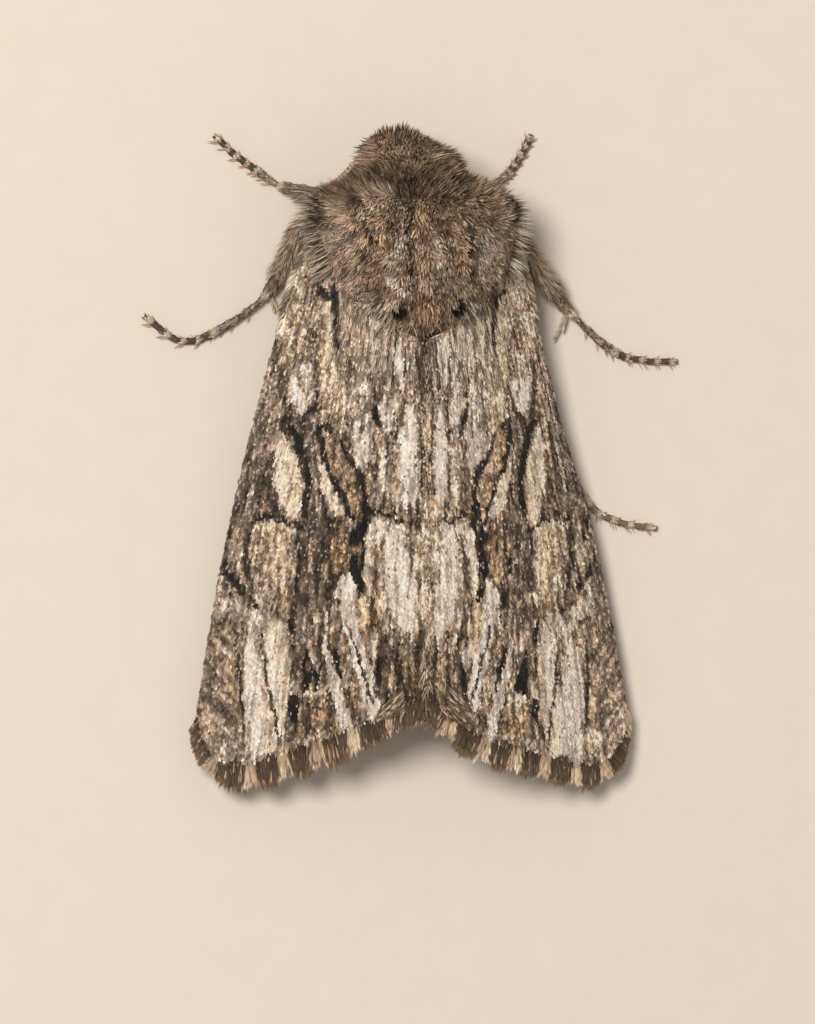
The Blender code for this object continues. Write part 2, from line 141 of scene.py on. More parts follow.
# Marks of the forewing, laid one over another: colour, strength, softness of the edge, then a line of
# (x, y, half width).
BASE_MARKS = (
    # leading edge
    (DUSK, 0.55, 0.5, ((3.7, -6.6, 0.3), (4.3, -3.5, 0.25), (5.35, 0.0, 0.3), (6.2, 3.5, 0.35),
                       (6.55, 6.0, 0.4))),
    (TAN, 0.55, 0.5, ((3.5, -5.9, 0.35), (3.6, -4.6, 0.42), (3.75, -3.4, 0.3))),
    (BROWN, 0.6, 0.3, ((3.9, -6.6, 0.2), (3.55, -6.2, 0.22))),
    (PALE, 0.5, 0.25, ((3.45, -5.5, 0.14), (3.3, -5.0, 0.1))),
    (PALE, 0.4, 0.3, ((4.25, -2.6, 0.08), (4.6, -1.0, 0.1), (5.05, 0.9, 0.12))),
    (UMBER, 0.7, 0.15, ((4.62, -1.9, 0.09), (4.72, -1.35, 0.11))),
    (UMBER, 0.6, 0.15, ((5.05, -0.1, 0.08), (5.18, 0.4, 0.1))),
    (UMBER, 0.7, 0.16, ((5.42, 1.4, 0.12), (5.58, 2.0, 0.14))),
    (UMBER, 0.65, 0.15, ((5.8, 2.65, 0.16), (5.92, 2.95, 0.12))),
    (UMBER, 0.5, 0.12, ((4.05, -4.0, 0.06), (4.15, -3.2, 0.07))),
    (UMBER, 0.5, 0.1, ((3.3, -4.6, 0.04), (3.15, -3.6, 0.05))),
    (UMBER, 0.45, 0.1, ((3.72, -5.2, 0.04), (3.65, -4.3, 0.04))),
    # streak from the wing's root and the black line beside it
    (TAN, 0.9, 0.22, ((2.72, -5.2, 0.17), (2.72, -4.0, 0.2), (2.7, -3.0, 0.24), (2.62, -2.0, 0.26),
                      (2.42, -1.2, 0.2))),
    (CREAM, 0.75, 0.14, ((2.66, -5.1, 0.1), (2.66, -4.4, 0.11), (2.72, -3.4, 0.07))),
    (OCHRE, 0.5, 0.12, ((2.85, -4.2, 0.05), (2.75, -2.4, 0.05))),
    (BLACK, 0.95, 0.1, ((2.46, -5.35, 0.1), (2.44, -4.6, 0.12), (2.42, -4.0, 0.08), (2.46, -3.4, 0.03))),
    (BLACK, 0.9, 0.12, ((2.95, -5.25, 0.06), (2.72, -5.12, 0.13))),
    (UMBER, 0.6, 0.1, ((3.02, -3.6, 0.04), (3.0, -2.6, 0.05))),
    # field between the streak and the ridge
    (TAN, 0.55, 0.4, ((2.05, -4.6, 0.3), (2.0, -3.2, 0.32), (1.9, -2.3, 0.25))),
    (PALE, 0.5, 0.4, ((1.3, -4.4, 0.3), (1.35, -3.0, 0.34))),
    (PALE, 0.65, 0.35, ((1.9, -2.1, 0.32), (1.75, -1.2, 0.36), (1.85, -0.4, 0.3))),
    (PALE, 0.55, 0.3, ((1.05, -2.3, 0.2), (1.1, -1.4, 0.26), (1.05, -0.9, 0.2))),
    (WHITE, 0.75, 0.25, ((1.85, -0.75, 0.2), (1.75, -0.2, 0.2))),
    (WHITE, 0.6, 0.2, ((1.2, -1.85, 0.12), (1.12, -1.3, 0.12))),
    (WHITE, 0.95, 0.08, ((0.72, -3.85, 0.04), (0.76, -3.1, 0.09), (0.66, -2.35, 0.06))),
    (WHITE, 0.95, 0.18, ((0.5, -1.75, 0.05), (0.52, -0.8, 0.24), (0.52, 0.1, 0.3), (0.55, 0.95, 0.2))),
    (PALE, 0.6, 0.2, ((1.15, -0.4, 0.15), (1.2, 0.4, 0.18), (1.0, 1.0, 0.14))),
    (BLACK, 0.85, 0.09, ((1.52, -2.65, 0.03), (1.47, -2.2, 0.05), (1.43, -1.95, 0.03))),
    (BLACK, 0.92, 0.1, ((1.5, -1.78, 0.04), (1.4, -1.42, 0.1), (1.32, -1.15, 0.06))),
    (UMBER, 0.8, 0.1, ((1.48, -0.75, 0.05), (1.42, -0.1, 0.05), (1.5, 0.3, 0.07))),
    (BLACK, 0.85, 0.12, ((1.0, -0.95, 0.07), (0.84, -0.86, 0.09), (0.86, -0.65, 0.03))),
    (UMBER, 0.7, 0.09, ((0.47, -2.62, 0.03), (0.42, -2.25, 0.06))),
    (BROWN, 0.6, 0.12, ((0.72, -1.9, 0.04), (0.74, -1.2, 0.05))),
    (BROWN, 0.75, 0.3, ((1.62, 0.5, 0.14), (1.5, 1.2, 0.24))),
    # ridge
    (TAN, 0.6, 0.1, ((0.05, -3.0, 0.08), (0.06, 2.0, 0.07), (0.08, 5.0, 0.06))),
    (UMBER, 0.75, 0.09, ((0.17, -3.2, 0.05), (0.17, -1.0, 0.04), (0.15, 1.0, 0.03))),
    (BROWN, 0.85, 0.25, ((0.0, -4.7, 0.75), (0.0, -4.1, 0.5), (0.08, -3.5, 0.2))),
    (UMBER, 0.7, 0.2, ((0.15, -4.2, 0.25), (0.12, -3.2, 0.18), (0.1, -2.3, 0.05))),
)
MIDDLE_MARKS = (
    # dark costal strip and its lines
    (DUSK, 0.7, 0.4, ((4.5, -2.2, 0.16), (4.75, -0.9, 0.26), (4.9, 0.4, 0.36), (5.1, 1.4, 0.36))),
    (UMBER, 0.7, 0.1, ((4.42, -1.2, 0.05), (4.56, 0.0, 0.06), (4.66, 1.2, 0.07))),
    (UMBER, 0.7, 0.1, ((4.78, -0.6, 0.04), (4.98, 0.6, 0.06), (5.1, 1.4, 0.06))),
    (PALE, 0.6, 0.08, ((4.6, -1.4, 0.04), (4.86, 0.3, 0.04), (4.92, 1.3, 0.04))),
    (PALE, 0.5, 0.08, ((5.0, -0.4, 0.03), (5.24, 0.9, 0.04))),
    (RUST, 0.6, 0.12, ((4.52, 0.8, 0.07), (4.42, 1.4, 0.08))),
    # whitish wedge before the round spot
    (PALE, 0.8, 0.2, ((3.45, -3.2, 0.12), (3.5, -2.6, 0.26), (3.45, -2.0, 0.3), (3.45, -1.65, 0.14))),
    (WHITE, 0.75, 0.14, ((3.62, -2.5, 0.1), (3.5, -1.9, 0.19), (3.47, -1.55, 0.1))),
    (WHITE, 0.6, 0.1, ((3.12, -2.4, 0.06), (3.2, -1.95, 0.07))),
    (RUST, 0.6, 0.1, ((3.48, -2.75, 0.06), (3.42, -2.3, 0.06))),
    (UMBER, 0.85, 0.12, ((4.0, -2.9, 0.04), (3.94, -2.3, 0.09), (3.82, -1.75, 0.1), (3.82, -1.3, 0.16))),
    (BLACK, 0.7, 0.14, ((4.05, -1.35, 0.12), (3.8, -1.15, 0.14))),
    (BLACK, 0.85, 0.1, ((3.06, -2.2, 0.04), (3.14, -1.75, 0.07), (3.36, -1.42, 0.1))),
    (UMBER, 0.7, 0.2, ((3.3, -1.2, 0.22), (3.15, -0.8, 0.16))),
    # dark strip between the spots
    (DUSK, 0.85, 0.2, ((3.22, -1.0, 0.16), (3.14, 0.4, 0.2), (3.16, 1.9, 0.24))),
    (PALE, 0.45, 0.06, ((3.2, -0.6, 0.03), (3.1, 0.6, 0.04), (3.1, 1.5, 0.03))),
    # round spot, drawn out along the wing
    (BLACK, 0.92, 0.09, ((3.74, -1.15, 0.12), (3.56, -0.6, 0.13), (3.42, -0.1, 0.12), (3.34, 0.5, 0.11),
                         (3.38, 1.1, 0.1), (3.46, 1.55, 0.07))),
    (UMBER, 0.85, 0.1, ((4.3, -0.4, 0.06), (4.4, 0.2, 0.09), (4.36, 0.8, 0.11), (4.2, 1.3, 0.11),
                        (3.98, 1.7, 0.1))),
    (CREAM, 0.97, 0.08, ((4.05, -0.95, 0.09), (3.98, -0.45, 0.24), (3.88, 0.15, 0.33), (3.84, 0.7, 0.32),
                         (3.78, 1.2, 0.22), (3.74, 1.5, 0.08))),
    (WHITE, 0.7, 0.1, ((4.08, -0.5, 0.07), (4.12, 0.1, 0.08), (4.06, 0.7, 0.07))),
    (TAN, 0.6, 0.14, ((4.0, -0.35, 0.06), (3.82, 0.1, 0.1), (3.72, 0.5, 0.1))),
    (OCHRE, 0.4, 0.06, ((3.95, -0.3, 0.02), (3.8, 0.5, 0.03), (3.85, 1.0, 0.02))),
    # claw-shaped cell
    (BLACK, 0.93, 0.08, ((3.0, -1.05, 0.08), (2.94, -0.5, 0.09), (2.74, 0.05, 0.1), (2.55, 0.5, 0.1),
                         (2.36, 1.0, 0.08), (2.1, 1.6, 0.07))),
    (BLACK, 0.9, 0.09, ((2.45, -0.85, 0.06), (2.3, -0.45, 0.07), (2.1, -0.05, 0.1), (1.92, 0.2, 0.11),
                        (1.8, 0.7, 0.06), (1.7, 1.5, 0.08))),
    (OCHRE, 0.97, 0.1, ((2.74, -0.85, 0.14), (2.62, -0.4, 0.21), (2.4, 0.2, 0.18), (2.17, 0.8, 0.16),
                        (1.93, 1.4, 0.1))),
    (TAN, 0.5, 0.1, ((2.66, -0.75, 0.05), (2.5, -0.2, 0.05), (2.22, 0.6, 0.05))),
    (BROWN, 0.6, 0.07, ((2.56, -0.6, 0.02), (2.34, 0.3, 0.03), (2.1, 1.0, 0.03))),
    (BLACK, 0.85, 0.1, ((3.0, -1.28, 0.1), (2.8, -1.14, 0.12))),
    (CREAM, 0.93, 0.08, ((2.95, 0.0, 0.08), (2.77, 0.7, 0.15), (2.52, 1.3, 0.14), (2.42, 1.6, 0.05))),
    (TAN, 0.6, 0.06, ((2.76, 0.5, 0.04), (2.55, 1.3, 0.04))),
    (BLACK, 0.8, 0.08, ((3.02, 0.7, 0.05), (2.88, 1.4, 0.07), (2.72, 1.9, 0.05))),
    # umber field with gold and rust beside the black streak
    (UMBER, 0.85, 0.25, ((2.6, 1.75, 0.3), (2.5, 2.5, 0.42), (2.52, 3.2, 0.3), (2.75, 3.6, 0.1))),
    (RUST, 0.8, 0.1, ((2.38, 1.7, 0.05), (2.36, 2.5, 0.05), (2.34, 3.1, 0.04))),
    (GOLD, 0.75, 0.08, ((2.62, 1.9, 0.05), (2.62, 2.5, 0.06), (2.56, 3.1, 0.09))),
    (RUST, 0.75, 0.1, ((2.48, 2.4, 0.05), (2.42, 3.2, 0.07))),
    (TAN, 0.6, 0.06, ((2.44, 1.8, 0.03), (2.42, 2.6, 0.03))),
    (BLACK, 0.9, 0.1, ((2.93, 2.4, 0.05), (2.88, 2.88, 0.11))),
    (BLACK, 0.7, 0.12, ((2.1, 2.2, 0.05), (2.12, 3.2, 0.08))),
    # dorsal scallops and the great black streak
    (BLACK, 0.93, 0.08, ((1.85, 1.15, 0.1), (1.66, 1.4, 0.11), (1.42, 1.4, 0.08), (1.12, 1.5, 0.06),
                         (0.92, 1.66, 0.06), (0.7, 1.6, 0.03))),
    (UMBER, 0.7, 0.1, ((0.6, 1.45, 0.05), (0.42, 1.75, 0.05), (0.2, 1.72, 0.03))),
    (BLACK, 0.98, 0.09, ((1.7, 1.3, 0.17), (1.94, 2.1, 0.24), (2.03, 2.8, 0.22), (1.97, 3.3, 0.16),
                         (1.86, 3.8, 0.07))),
    # white dorsal patch
    (PALE, 0.95, 0.1, ((1.42, 1.8, 0.2), (1.35, 2.6, 0.36), (1.28, 3.3, 0.42), (1.0, 4.0, 0.36),
                       (0.62, 4.8, 0.14))),
    (WHITE, 0.9, 0.1, ((1.3, 1.8, 0.1), (1.08, 2.6, 0.1), (1.06, 3.4, 0.16), (0.88, 4.2, 0.2),
                       (0.62, 4.8, 0.12))),
    (WHITE, 0.96, 0.12, ((0.85, 1.95, 0.22), (0.7, 3.0, 0.38), (0.58, 4.0, 0.3), (0.36, 5.1, 0.1))),
    (PALE, 0.8, 0.14, ((0.3, 2.1, 0.14), (0.26, 3.2, 0.14), (0.2, 4.4, 0.08))),
    (CREAM, 0.85, 0.07, ((1.62, 1.8, 0.06), (1.76, 2.6, 0.07), (1.78, 3.3, 0.07), (1.66, 3.8, 0.04))),
    (BROWN, 0.85, 0.1, ((1.22, 2.0, 0.05), (1.44, 2.6, 0.1), (1.52, 3.3, 0.12), (1.42, 3.9, 0.07))),
    (UMBER, 0.7, 0.06, ((1.38, 2.3, 0.03), (1.46, 2.9, 0.05), (1.52, 3.4, 0.03))),
    (TAN, 0.7, 0.1, ((1.34, 2.9, 0.05), (1.36, 3.6, 0.07), (1.16, 4.2, 0.04))),
    (BROWN, 0.85, 0.08, ((0.6, 1.95, 0.06), (0.5, 2.6, 0.08), (0.44, 3.3, 0.04))),
    (UMBER, 0.5, 0.05, ((0.72, 1.95, 0.02), (0.62, 2.5, 0.03))),
    (BROWN, 0.55, 0.06, ((0.2, 2.3, 0.03), (0.2, 4.6, 0.04))),
    (TAN, 0.5, 0.05, ((1.0, 2.2, 0.03), (0.95, 3.2, 0.04), (0.78, 4.2, 0.03))),
    # dark grey strip inside the kidney spot
    (DUSK, 0.95, 0.2, ((3.3, 1.9, 0.3), (3.36, 3.0, 0.36), (3.3, 4.1, 0.32))),
    (UMBER, 0.8, 0.06, ((3.14, 2.1, 0.04), (3.1, 3.8, 0.05))),
    (UMBER, 0.8, 0.06, ((3.5, 2.1, 0.04), (3.48, 3.6, 0.05))),
    (PALE, 0.5, 0.05, ((3.32, 2.2, 0.03), (3.28, 3.9, 0.03))),
    (PALE, 0.4, 0.05, ((3.66, 2.4, 0.02), (3.62, 3.6, 0.02))),
    (UMBER, 0.8, 0.16, ((2.8, 3.5, 0.1), (2.82, 4.0, 0.1))),
    # kidney spot
    (BLACK, 0.85, 0.07, ((4.95, 1.62, 0.05), (4.5, 1.46, 0.07), (4.1, 1.56, 0.07), (3.72, 1.74, 0.07),
                         (3.45, 1.98, 0.05))),
    (TAN, 0.93, 0.22, ((4.4, 2.2, 0.42), (4.34, 3.0, 0.44), (4.28, 3.8, 0.26))),
    (CREAM, 0.85, 0.08, ((4.88, 1.88, 0.06), (4.35, 1.7, 0.08), (3.9, 1.86, 0.08), (3.68, 2.05, 0.05))),
    (GREY, 0.8, 0.12, ((4.7, 2.1, 0.1), (4.72, 2.7, 0.15), (4.66, 3.4, 0.13))),
    (PALE, 0.6, 0.1, ((4.5, 2.15, 0.1), (4.55, 2.5, 0.08))),
    (BROWN, 0.6, 0.07, ((4.42, 2.3, 0.03), (4.46, 3.0, 0.05), (4.4, 3.5, 0.04))),
    (GOLD, 0.85, 0.16, ((4.16, 2.5, 0.12), (4.1, 3.05, 0.13), (4.12, 3.5, 0.08))),
    (BROWN, 0.6, 0.12, ((4.22, 3.6, 0.07), (4.3, 3.95, 0.12))),
    (PALE, 0.7, 0.1, ((4.85, 3.1, 0.1), (4.75, 3.7, 0.07))),
    (RUST, 0.7, 0.14, ((4.1, 3.8, 0.08), (3.9, 4.4, 0.09))),
    (BLACK, 0.8, 0.08, ((5.0, 1.8, 0.06), (5.06, 2.7, 0.09), (5.0, 3.4, 0.07))),
    (BLACK, 0.75, 0.07, ((3.66, 2.1, 0.05), (3.62, 2.9, 0.05), (3.72, 3.7, 0.05), (3.86, 4.3, 0.05))),
    (CREAM, 0.85, 0.07, ((4.2, 2.5, 0.05), (4.08, 3.05, 0.07), (4.1, 3.5, 0.05))),
    # leading edge beside it
    (PALE, 0.7, 0.2, ((5.36, 2.3, 0.12), (5.38, 2.75, 0.12))),
    (DUSK, 0.8, 0.16, ((5.6, 2.4, 0.12), (5.66, 3.0, 0.14))),
    (BLACK, 0.85, 0.1, ((5.6, 1.5, 0.12), (5.5, 1.95, 0.12))),
    (BLACK, 0.9, 0.09, ((5.66, 3.0, 0.1), (5.4, 3.4, 0.13), (5.14, 3.85, 0.07))),
)
OUTER_MARKS = (
    (PALE, 0.75, 0.2, ((5.75, 3.95, 0.16), (5.4, 4.2, 0.24), (5.0, 4.5, 0.14))),
    (PALE, 0.8, 0.2, ((4.4, 4.5, 0.22), (4.2, 4.9, 0.26))),
    (BLACK, 0.95, 0.08, ((4.86, 4.0, 0.03), (4.78, 4.3, 0.09), (4.68, 4.7, 0.03))),
    (BLACK, 0.95, 0.08, ((3.88, 4.45, 0.04), (3.84, 4.8, 0.09), (3.78, 5.2, 0.03))),
    # grey-brown apex with slanting lines
    (BROWN, 0.25, 0.5, ((5.85, 4.6, 0.25), (6.1, 6.5, 0.45), (6.2, 8.0, 0.35))),
    (GREY, 0.6, 0.3, ((5.6, 5.4, 0.22), (5.75, 7.0, 0.24))),
    (OCHRE, 0.75, 0.14, ((5.5, 5.7, 0.06), (5.55, 6.4, 0.11), (5.5, 7.3, 0.1))),
    (UMBER, 0.7, 0.12, ((5.9, 4.7, 0.05), (5.6, 4.45, 0.06), (5.3, 4.6, 0.04))),
    (PALE, 0.75, 0.12, ((5.95, 7.5, 0.1), (5.65, 8.2, 0.16), (5.75, 8.7, 0.12))),
    (DUSK, 0.6, 0.08, ((5.75, 7.6, 0.04), (5.95, 8.5, 0.05))),
    # broad pale field with dark veins
    (PALE, 0.9, 0.2, ((4.7, 4.5, 0.3), (4.72, 5.6, 0.44), (4.7, 7.0, 0.46), (4.74, 8.7, 0.46))),
    (CREAM, 0.96, 0.14, ((4.3, 4.7, 0.2), (4.26, 6.0, 0.36), (4.25, 7.0, 0.32), (4.5, 8.0, 0.3),
                         (4.6, 8.7, 0.24))),
    (WHITE, 0.9, 0.14, ((5.0, 5.3, 0.12), (4.98, 6.3, 0.24), (4.9, 7.4, 0.3), (4.95, 8.6, 0.22))),
    (WHITE, 0.9, 0.1, ((4.36, 5.0, 0.08), (4.34, 6.0, 0.13), (4.28, 7.0, 0.12))),
    (GOLD, 0.4, 0.1, ((4.12, 5.6, 0.04), (4.1, 6.4, 0.05), (4.6, 7.4, 0.05), (4.6, 7.9, 0.05))),
    (GREY, 0.6, 0.08, ((4.75, 5.0, 0.05), (4.72, 5.8, 0.04), (4.68, 6.6, 0.03))),
    (DUSK, 0.5, 0.07, ((5.08, 7.6, 0.03), (5.12, 8.6, 0.04))),
    (BLACK, 0.85, 0.06, ((5.42, 4.9, 0.03), (5.36, 6.0, 0.05), (5.27, 7.3, 0.05), (5.22, 7.9, 0.02))),
    (BLACK, 0.9, 0.06, ((4.72, 4.9, 0.03), (4.62, 5.6, 0.05), (4.56, 6.4, 0.05), (4.42, 7.15, 0.05),
                        (4.3, 7.75, 0.04), (4.2, 8.3, 0.02))),
    (UMBER, 0.7, 0.1, ((3.82, 5.3, 0.05), (3.8, 6.2, 0.05))),
    # lines toward the arrowheads
    (GREY, 0.7, 0.16, ((3.55, 4.4, 0.16), (3.55, 5.3, 0.16))),
    (PALE, 0.7, 0.07, ((3.58, 4.5, 0.05), (3.6, 5.4, 0.05))),
    (DUSK, 0.8, 0.2, ((2.95, 4.1, 0.2), (2.92, 5.0, 0.2), (2.75, 5.8, 0.16))),
    (WHITE, 0.75, 0.06, ((2.9, 4.2, 0.04), (2.86, 5.0, 0.05))),
    (WHITE, 0.7, 0.06, ((3.12, 4.3, 0.03), (3.08, 5.0, 0.04))),
    (UMBER, 0.8, 0.06, ((3.3, 4.5, 0.04), (3.2, 5.4, 0.05), (3.06, 6.1, 0.04))),
    (UMBER, 0.8, 0.06, ((2.99, 4.2, 0.03), (2.95, 5.1, 0.03))),
    (RUST, 0.7, 0.1, ((2.8, 4.9, 0.05), (2.72, 5.4, 0.06), (2.9, 5.9, 0.06))),
    (BLACK, 0.9, 0.09, ((2.8, 5.2, 0.05), (2.64, 5.75, 0.11), (2.5, 6.2, 0.05))),
    # dark arrowheads, and rust outside them
    (BROWN, 0.75, 0.2, ((3.55, 5.5, 0.14), (3.5, 6.5, 0.22))),
    (BLACK, 0.97, 0.09, ((3.46, 5.4, 0.03), (3.4, 5.9, 0.13), (3.3, 6.45, 0.26))),
    (BROWN, 0.85, 0.2, ((3.6, 7.2, 0.3), (3.2, 7.6, 0.4), (2.85, 7.6, 0.2))),
    (RUST, 0.8, 0.12, ((3.5, 7.3, 0.1), (3.2, 7.5, 0.16), (2.95, 7.4, 0.1))),
    (GOLD, 0.6, 0.08, ((3.42, 7.6, 0.05), (3.15, 7.9, 0.07))),
    (BLACK, 0.93, 0.12, ((3.8, 6.95, 0.13), (3.82, 7.35, 0.13), (3.85, 7.6, 0.04))),
    (CREAM, 0.97, 0.09, ((3.36, 6.7, 0.08), (3.12, 6.78, 0.12), (2.92, 6.85, 0.06))),
    (CREAM, 0.85, 0.08, ((3.74, 6.6, 0.07), (3.88, 6.8, 0.08))),
    (PALE, 0.7, 0.1, ((3.4, 8.1, 0.08), (2.95, 8.0, 0.06))),
    (UMBER, 0.7, 0.07, ((3.4, 7.1, 0.02), (3.36, 7.9, 0.03))),
    (WHITE, 0.93, 0.08, ((2.96, 5.0, 0.05), (2.84, 5.8, 0.1), (2.62, 6.6, 0.15), (2.44, 7.3, 0.18),
                         (2.28, 7.9, 0.15))),
    (UMBER, 0.8, 0.05, ((2.98, 5.9, 0.02), (2.78, 6.7, 0.03), (2.56, 7.5, 0.03))),
    (BROWN, 0.9, 0.1, ((2.32, 6.2, 0.05), (2.2, 6.9, 0.09), (2.0, 7.6, 0.1))),
    (CREAM, 0.85, 0.07, ((2.36, 6.15, 0.08), (2.28, 6.6, 0.06))),
    (GOLD, 0.6, 0.06, ((2.22, 6.5, 0.03), (2.1, 7.2, 0.03))),
    # white forked rays toward the hind corner
    (WHITE, 0.96, 0.1, ((2.3, 3.5, 0.24), (2.34, 3.9, 0.28), (2.26, 4.6, 0.24), (2.1, 5.2, 0.18))),
    (WHITE, 0.97, 0.08, ((2.16, 4.9, 0.18), (1.94, 5.7, 0.22), (1.7, 6.6, 0.24), (1.48, 7.5, 0.2))),
    (BLACK, 0.9, 0.05, ((2.3, 4.6, 0.03), (2.06, 5.5, 0.045), (1.76, 6.5, 0.05), (1.55, 7.2, 0.04))),
    (UMBER, 0.85, 0.06, ((2.56, 4.0, 0.04), (2.42, 4.9, 0.06), (2.26, 5.6, 0.04))),
    (BLACK, 0.85, 0.08, ((2.74, 3.8, 0.05), (2.64, 4.05, 0.06))),
    (GOLD, 0.9, 0.12, ((1.92, 3.95, 0.08), (1.82, 4.6, 0.17), (1.7, 5.3, 0.13))),
    (RUST, 0.9, 0.08, ((2.0, 4.1, 0.03), (1.9, 4.7, 0.06), (1.8, 5.3, 0.05))),
    (CREAM, 0.7, 0.06, ((1.86, 4.2, 0.04), (1.76, 5.0, 0.04))),
    (BROWN, 0.6, 0.06, ((1.75, 4.2, 0.03), (1.66, 5.0, 0.04))),
    (UMBER, 0.85, 0.09, ((1.6, 3.9, 0.05), (1.42, 4.6, 0.09), (1.24, 5.2, 0.08), (1.0, 5.8, 0.06))),
    (TAN, 0.7, 0.08, ((1.32, 4.2, 0.04), (1.12, 4.9, 0.06), (0.85, 5.5, 0.05))),
    (CREAM, 0.97, 0.08, ((1.68, 5.2, 0.09), (1.56, 5.45, 0.16), (1.5, 5.75, 0.06))),
    (DUSK, 0.85, 0.2, ((1.3, 5.6, 0.16), (1.15, 6.2, 0.36), (1.1, 6.8, 0.3))),
    (BLACK, 0.8, 0.14, ((1.36, 5.7, 0.09), (1.42, 6.4, 0.12), (1.46, 6.9, 0.08))),
    (TAN, 0.6, 0.08, ((1.2, 5.9, 0.04), (1.05, 6.7, 0.04))),
    (UMBER, 0.85, 0.2, ((0.8, 5.4, 0.12), (0.7, 6.2, 0.24), (0.5, 7.0, 0.3))),
    (GOLD, 0.7, 0.07, ((0.62, 5.7, 0.04), (0.36, 6.6, 0.05), (0.12, 7.2, 0.04))),
    (TAN, 0.7, 0.08, ((0.72, 5.5, 0.04), (0.6, 6.4, 0.05))),
    (BLACK, 0.85, 0.1, ((0.3, 5.0, 0.06), (0.28, 5.8, 0.1), (0.22, 6.8, 0.1))),
    (UMBER, 0.7, 0.14, ((0.14, 4.9, 0.08), (0.2, 6.0, 0.14), (0.3, 7.2, 0.24))),
    # dark crescents along the edge
    (UMBER, 0.8, 0.12, ((1.0, 7.0, 0.06), (1.25, 7.15, 0.06))),
    (UMBER, 0.8, 0.12, ((1.85, 7.8, 0.06), (2.05, 7.9, 0.06))),
    (BLACK, 0.75, 0.12, ((2.65, 8.1, 0.06), (2.95, 8.2, 0.09))),
    (BLACK, 0.8, 0.12, ((3.6, 8.42, 0.08), (3.85, 8.46, 0.1))),
    (BLACK, 0.8, 0.12, ((4.5, 8.68, 0.08), (4.8, 8.7, 0.1))),
    (UMBER, 0.75, 0.12, ((5.3, 8.9, 0.06), (5.6, 8.92, 0.06))),
    (BLACK, 0.75, 0.12, ((6.25, 8.55, 0.1), (6.42, 8.3, 0.1))),
)
WING_MARKS = BASE_MARKS + MIDDLE_MARKS + OUTER_MARKS
# Marks of the thorax from above, on both sides of its middle: the two sides of a live moth differ a little.
BODY_MARKS = (
    (OCHRE, 0.75, 0.3, ((1.36, -7.7, 0.2), (1.38, -7.0, 0.26), (1.35, -6.3, 0.2))),
    (OCHRE, 0.75, 0.25, ((-0.8, -7.85, 0.14), (-0.88, -7.0, 0.18), (-1.02, -6.0, 0.16))),
    (OCHRE, 0.65, 0.3, ((0.2, -7.9, 0.16), (0.24, -7.2, 0.24), (0.38, -6.2, 0.2))),
    (PALE, 0.75, 0.2, ((0.75, -7.3, 0.08), (0.72, -6.7, 0.13), (0.86, -6.2, 0.14), (0.98, -5.6, 0.13),
                       (0.8, -5.25, 0.1))),
    (PALE, 0.5, 0.3, ((1.05, -8.1, 0.16), (1.9, -7.4, 0.12))),
    (PALE, 0.5, 0.3, ((-0.2, -6.6, 0.14), (-0.35, -6.0, 0.16), (-0.15, -5.3, 0.14))),
    (GREY, 0.6, 0.4, ((2.4, -7.3, 0.3), (2.35, -6.2, 0.35), (2.2, -5.4, 0.3))),
    (GREY, 0.6, 0.4, ((-2.1, -7.2, 0.3), (-2.0, -6.2, 0.35), (-1.8, -5.4, 0.3))),
    (BLACK, 0.8, 0.12, ((0.5, -7.8, 0.06), (0.48, -7.0, 0.09), (0.55, -6.3, 0.08), (0.5, -5.6, 0.06))),
    (BLACK, 0.8, 0.14, ((1.74, -7.7, 0.06), (1.72, -7.0, 0.12), (1.7, -6.7, 0.1))),
    (BLACK, 0.85, 0.14, ((1.78, -6.2, 0.1), (1.75, -6.1, 0.1))),
    (UMBER, 0.85, 0.14, ((2.3, -6.5, 0.09), (2.2, -5.7, 0.12))),
    (BLACK, 0.75, 0.14, ((-1.2, -7.6, 0.08), (-1.3, -6.6, 0.11), (-1.35, -5.6, 0.09))),
    (PALE, 0.6, 0.2, ((-1.7, -7.2, 0.1), (-1.75, -6.2, 0.14))),
    (BLACK, 0.85, 0.16, ((-0.05, -5.75, 0.12), (-0.22, -5.5, 0.16))),
    (UMBER, 0.75, 0.3, ((-0.72, -8.35, 0.26), (-0.95, -8.1, 0.14))),
    (BROWN, 0.9, 0.3, ((0.5, -4.9, 0.25), (-0.2, -4.7, 0.45), (-0.7, -4.7, 0.3))),
    (RUST, 0.7, 0.2, ((0.2, -4.75, 0.16), (-0.35, -4.75, 0.2))),
    (BLACK, 0.93, 0.16, ((0.86, -4.85, 0.12), (0.88, -4.5, 0.17), (0.8, -4.2, 0.08))),
    (BLACK, 0.93, 0.16, ((-0.96, -4.95, 0.12), (-0.98, -4.6, 0.16))),
    (PALE, 0.6, 0.12, ((1.12, -5.0, 0.06), (1.2, -4.5, 0.07))),
    (BLACK, 0.8, 0.3, ((0.0, -4.2, 0.26), (-0.1, -3.4, 0.2))),
    (BLACK, 0.85, 0.14, ((3.1, -7.3, 0.12), (2.9, -6.3, 0.13), (2.6, -5.5, 0.13), (2.46, -4.8, 0.12))),
    (UMBER, 0.85, 0.14, ((-2.75, -6.6, 0.08), (-2.45, -5.8, 0.1), (-2.2, -4.9, 0.12))),
)


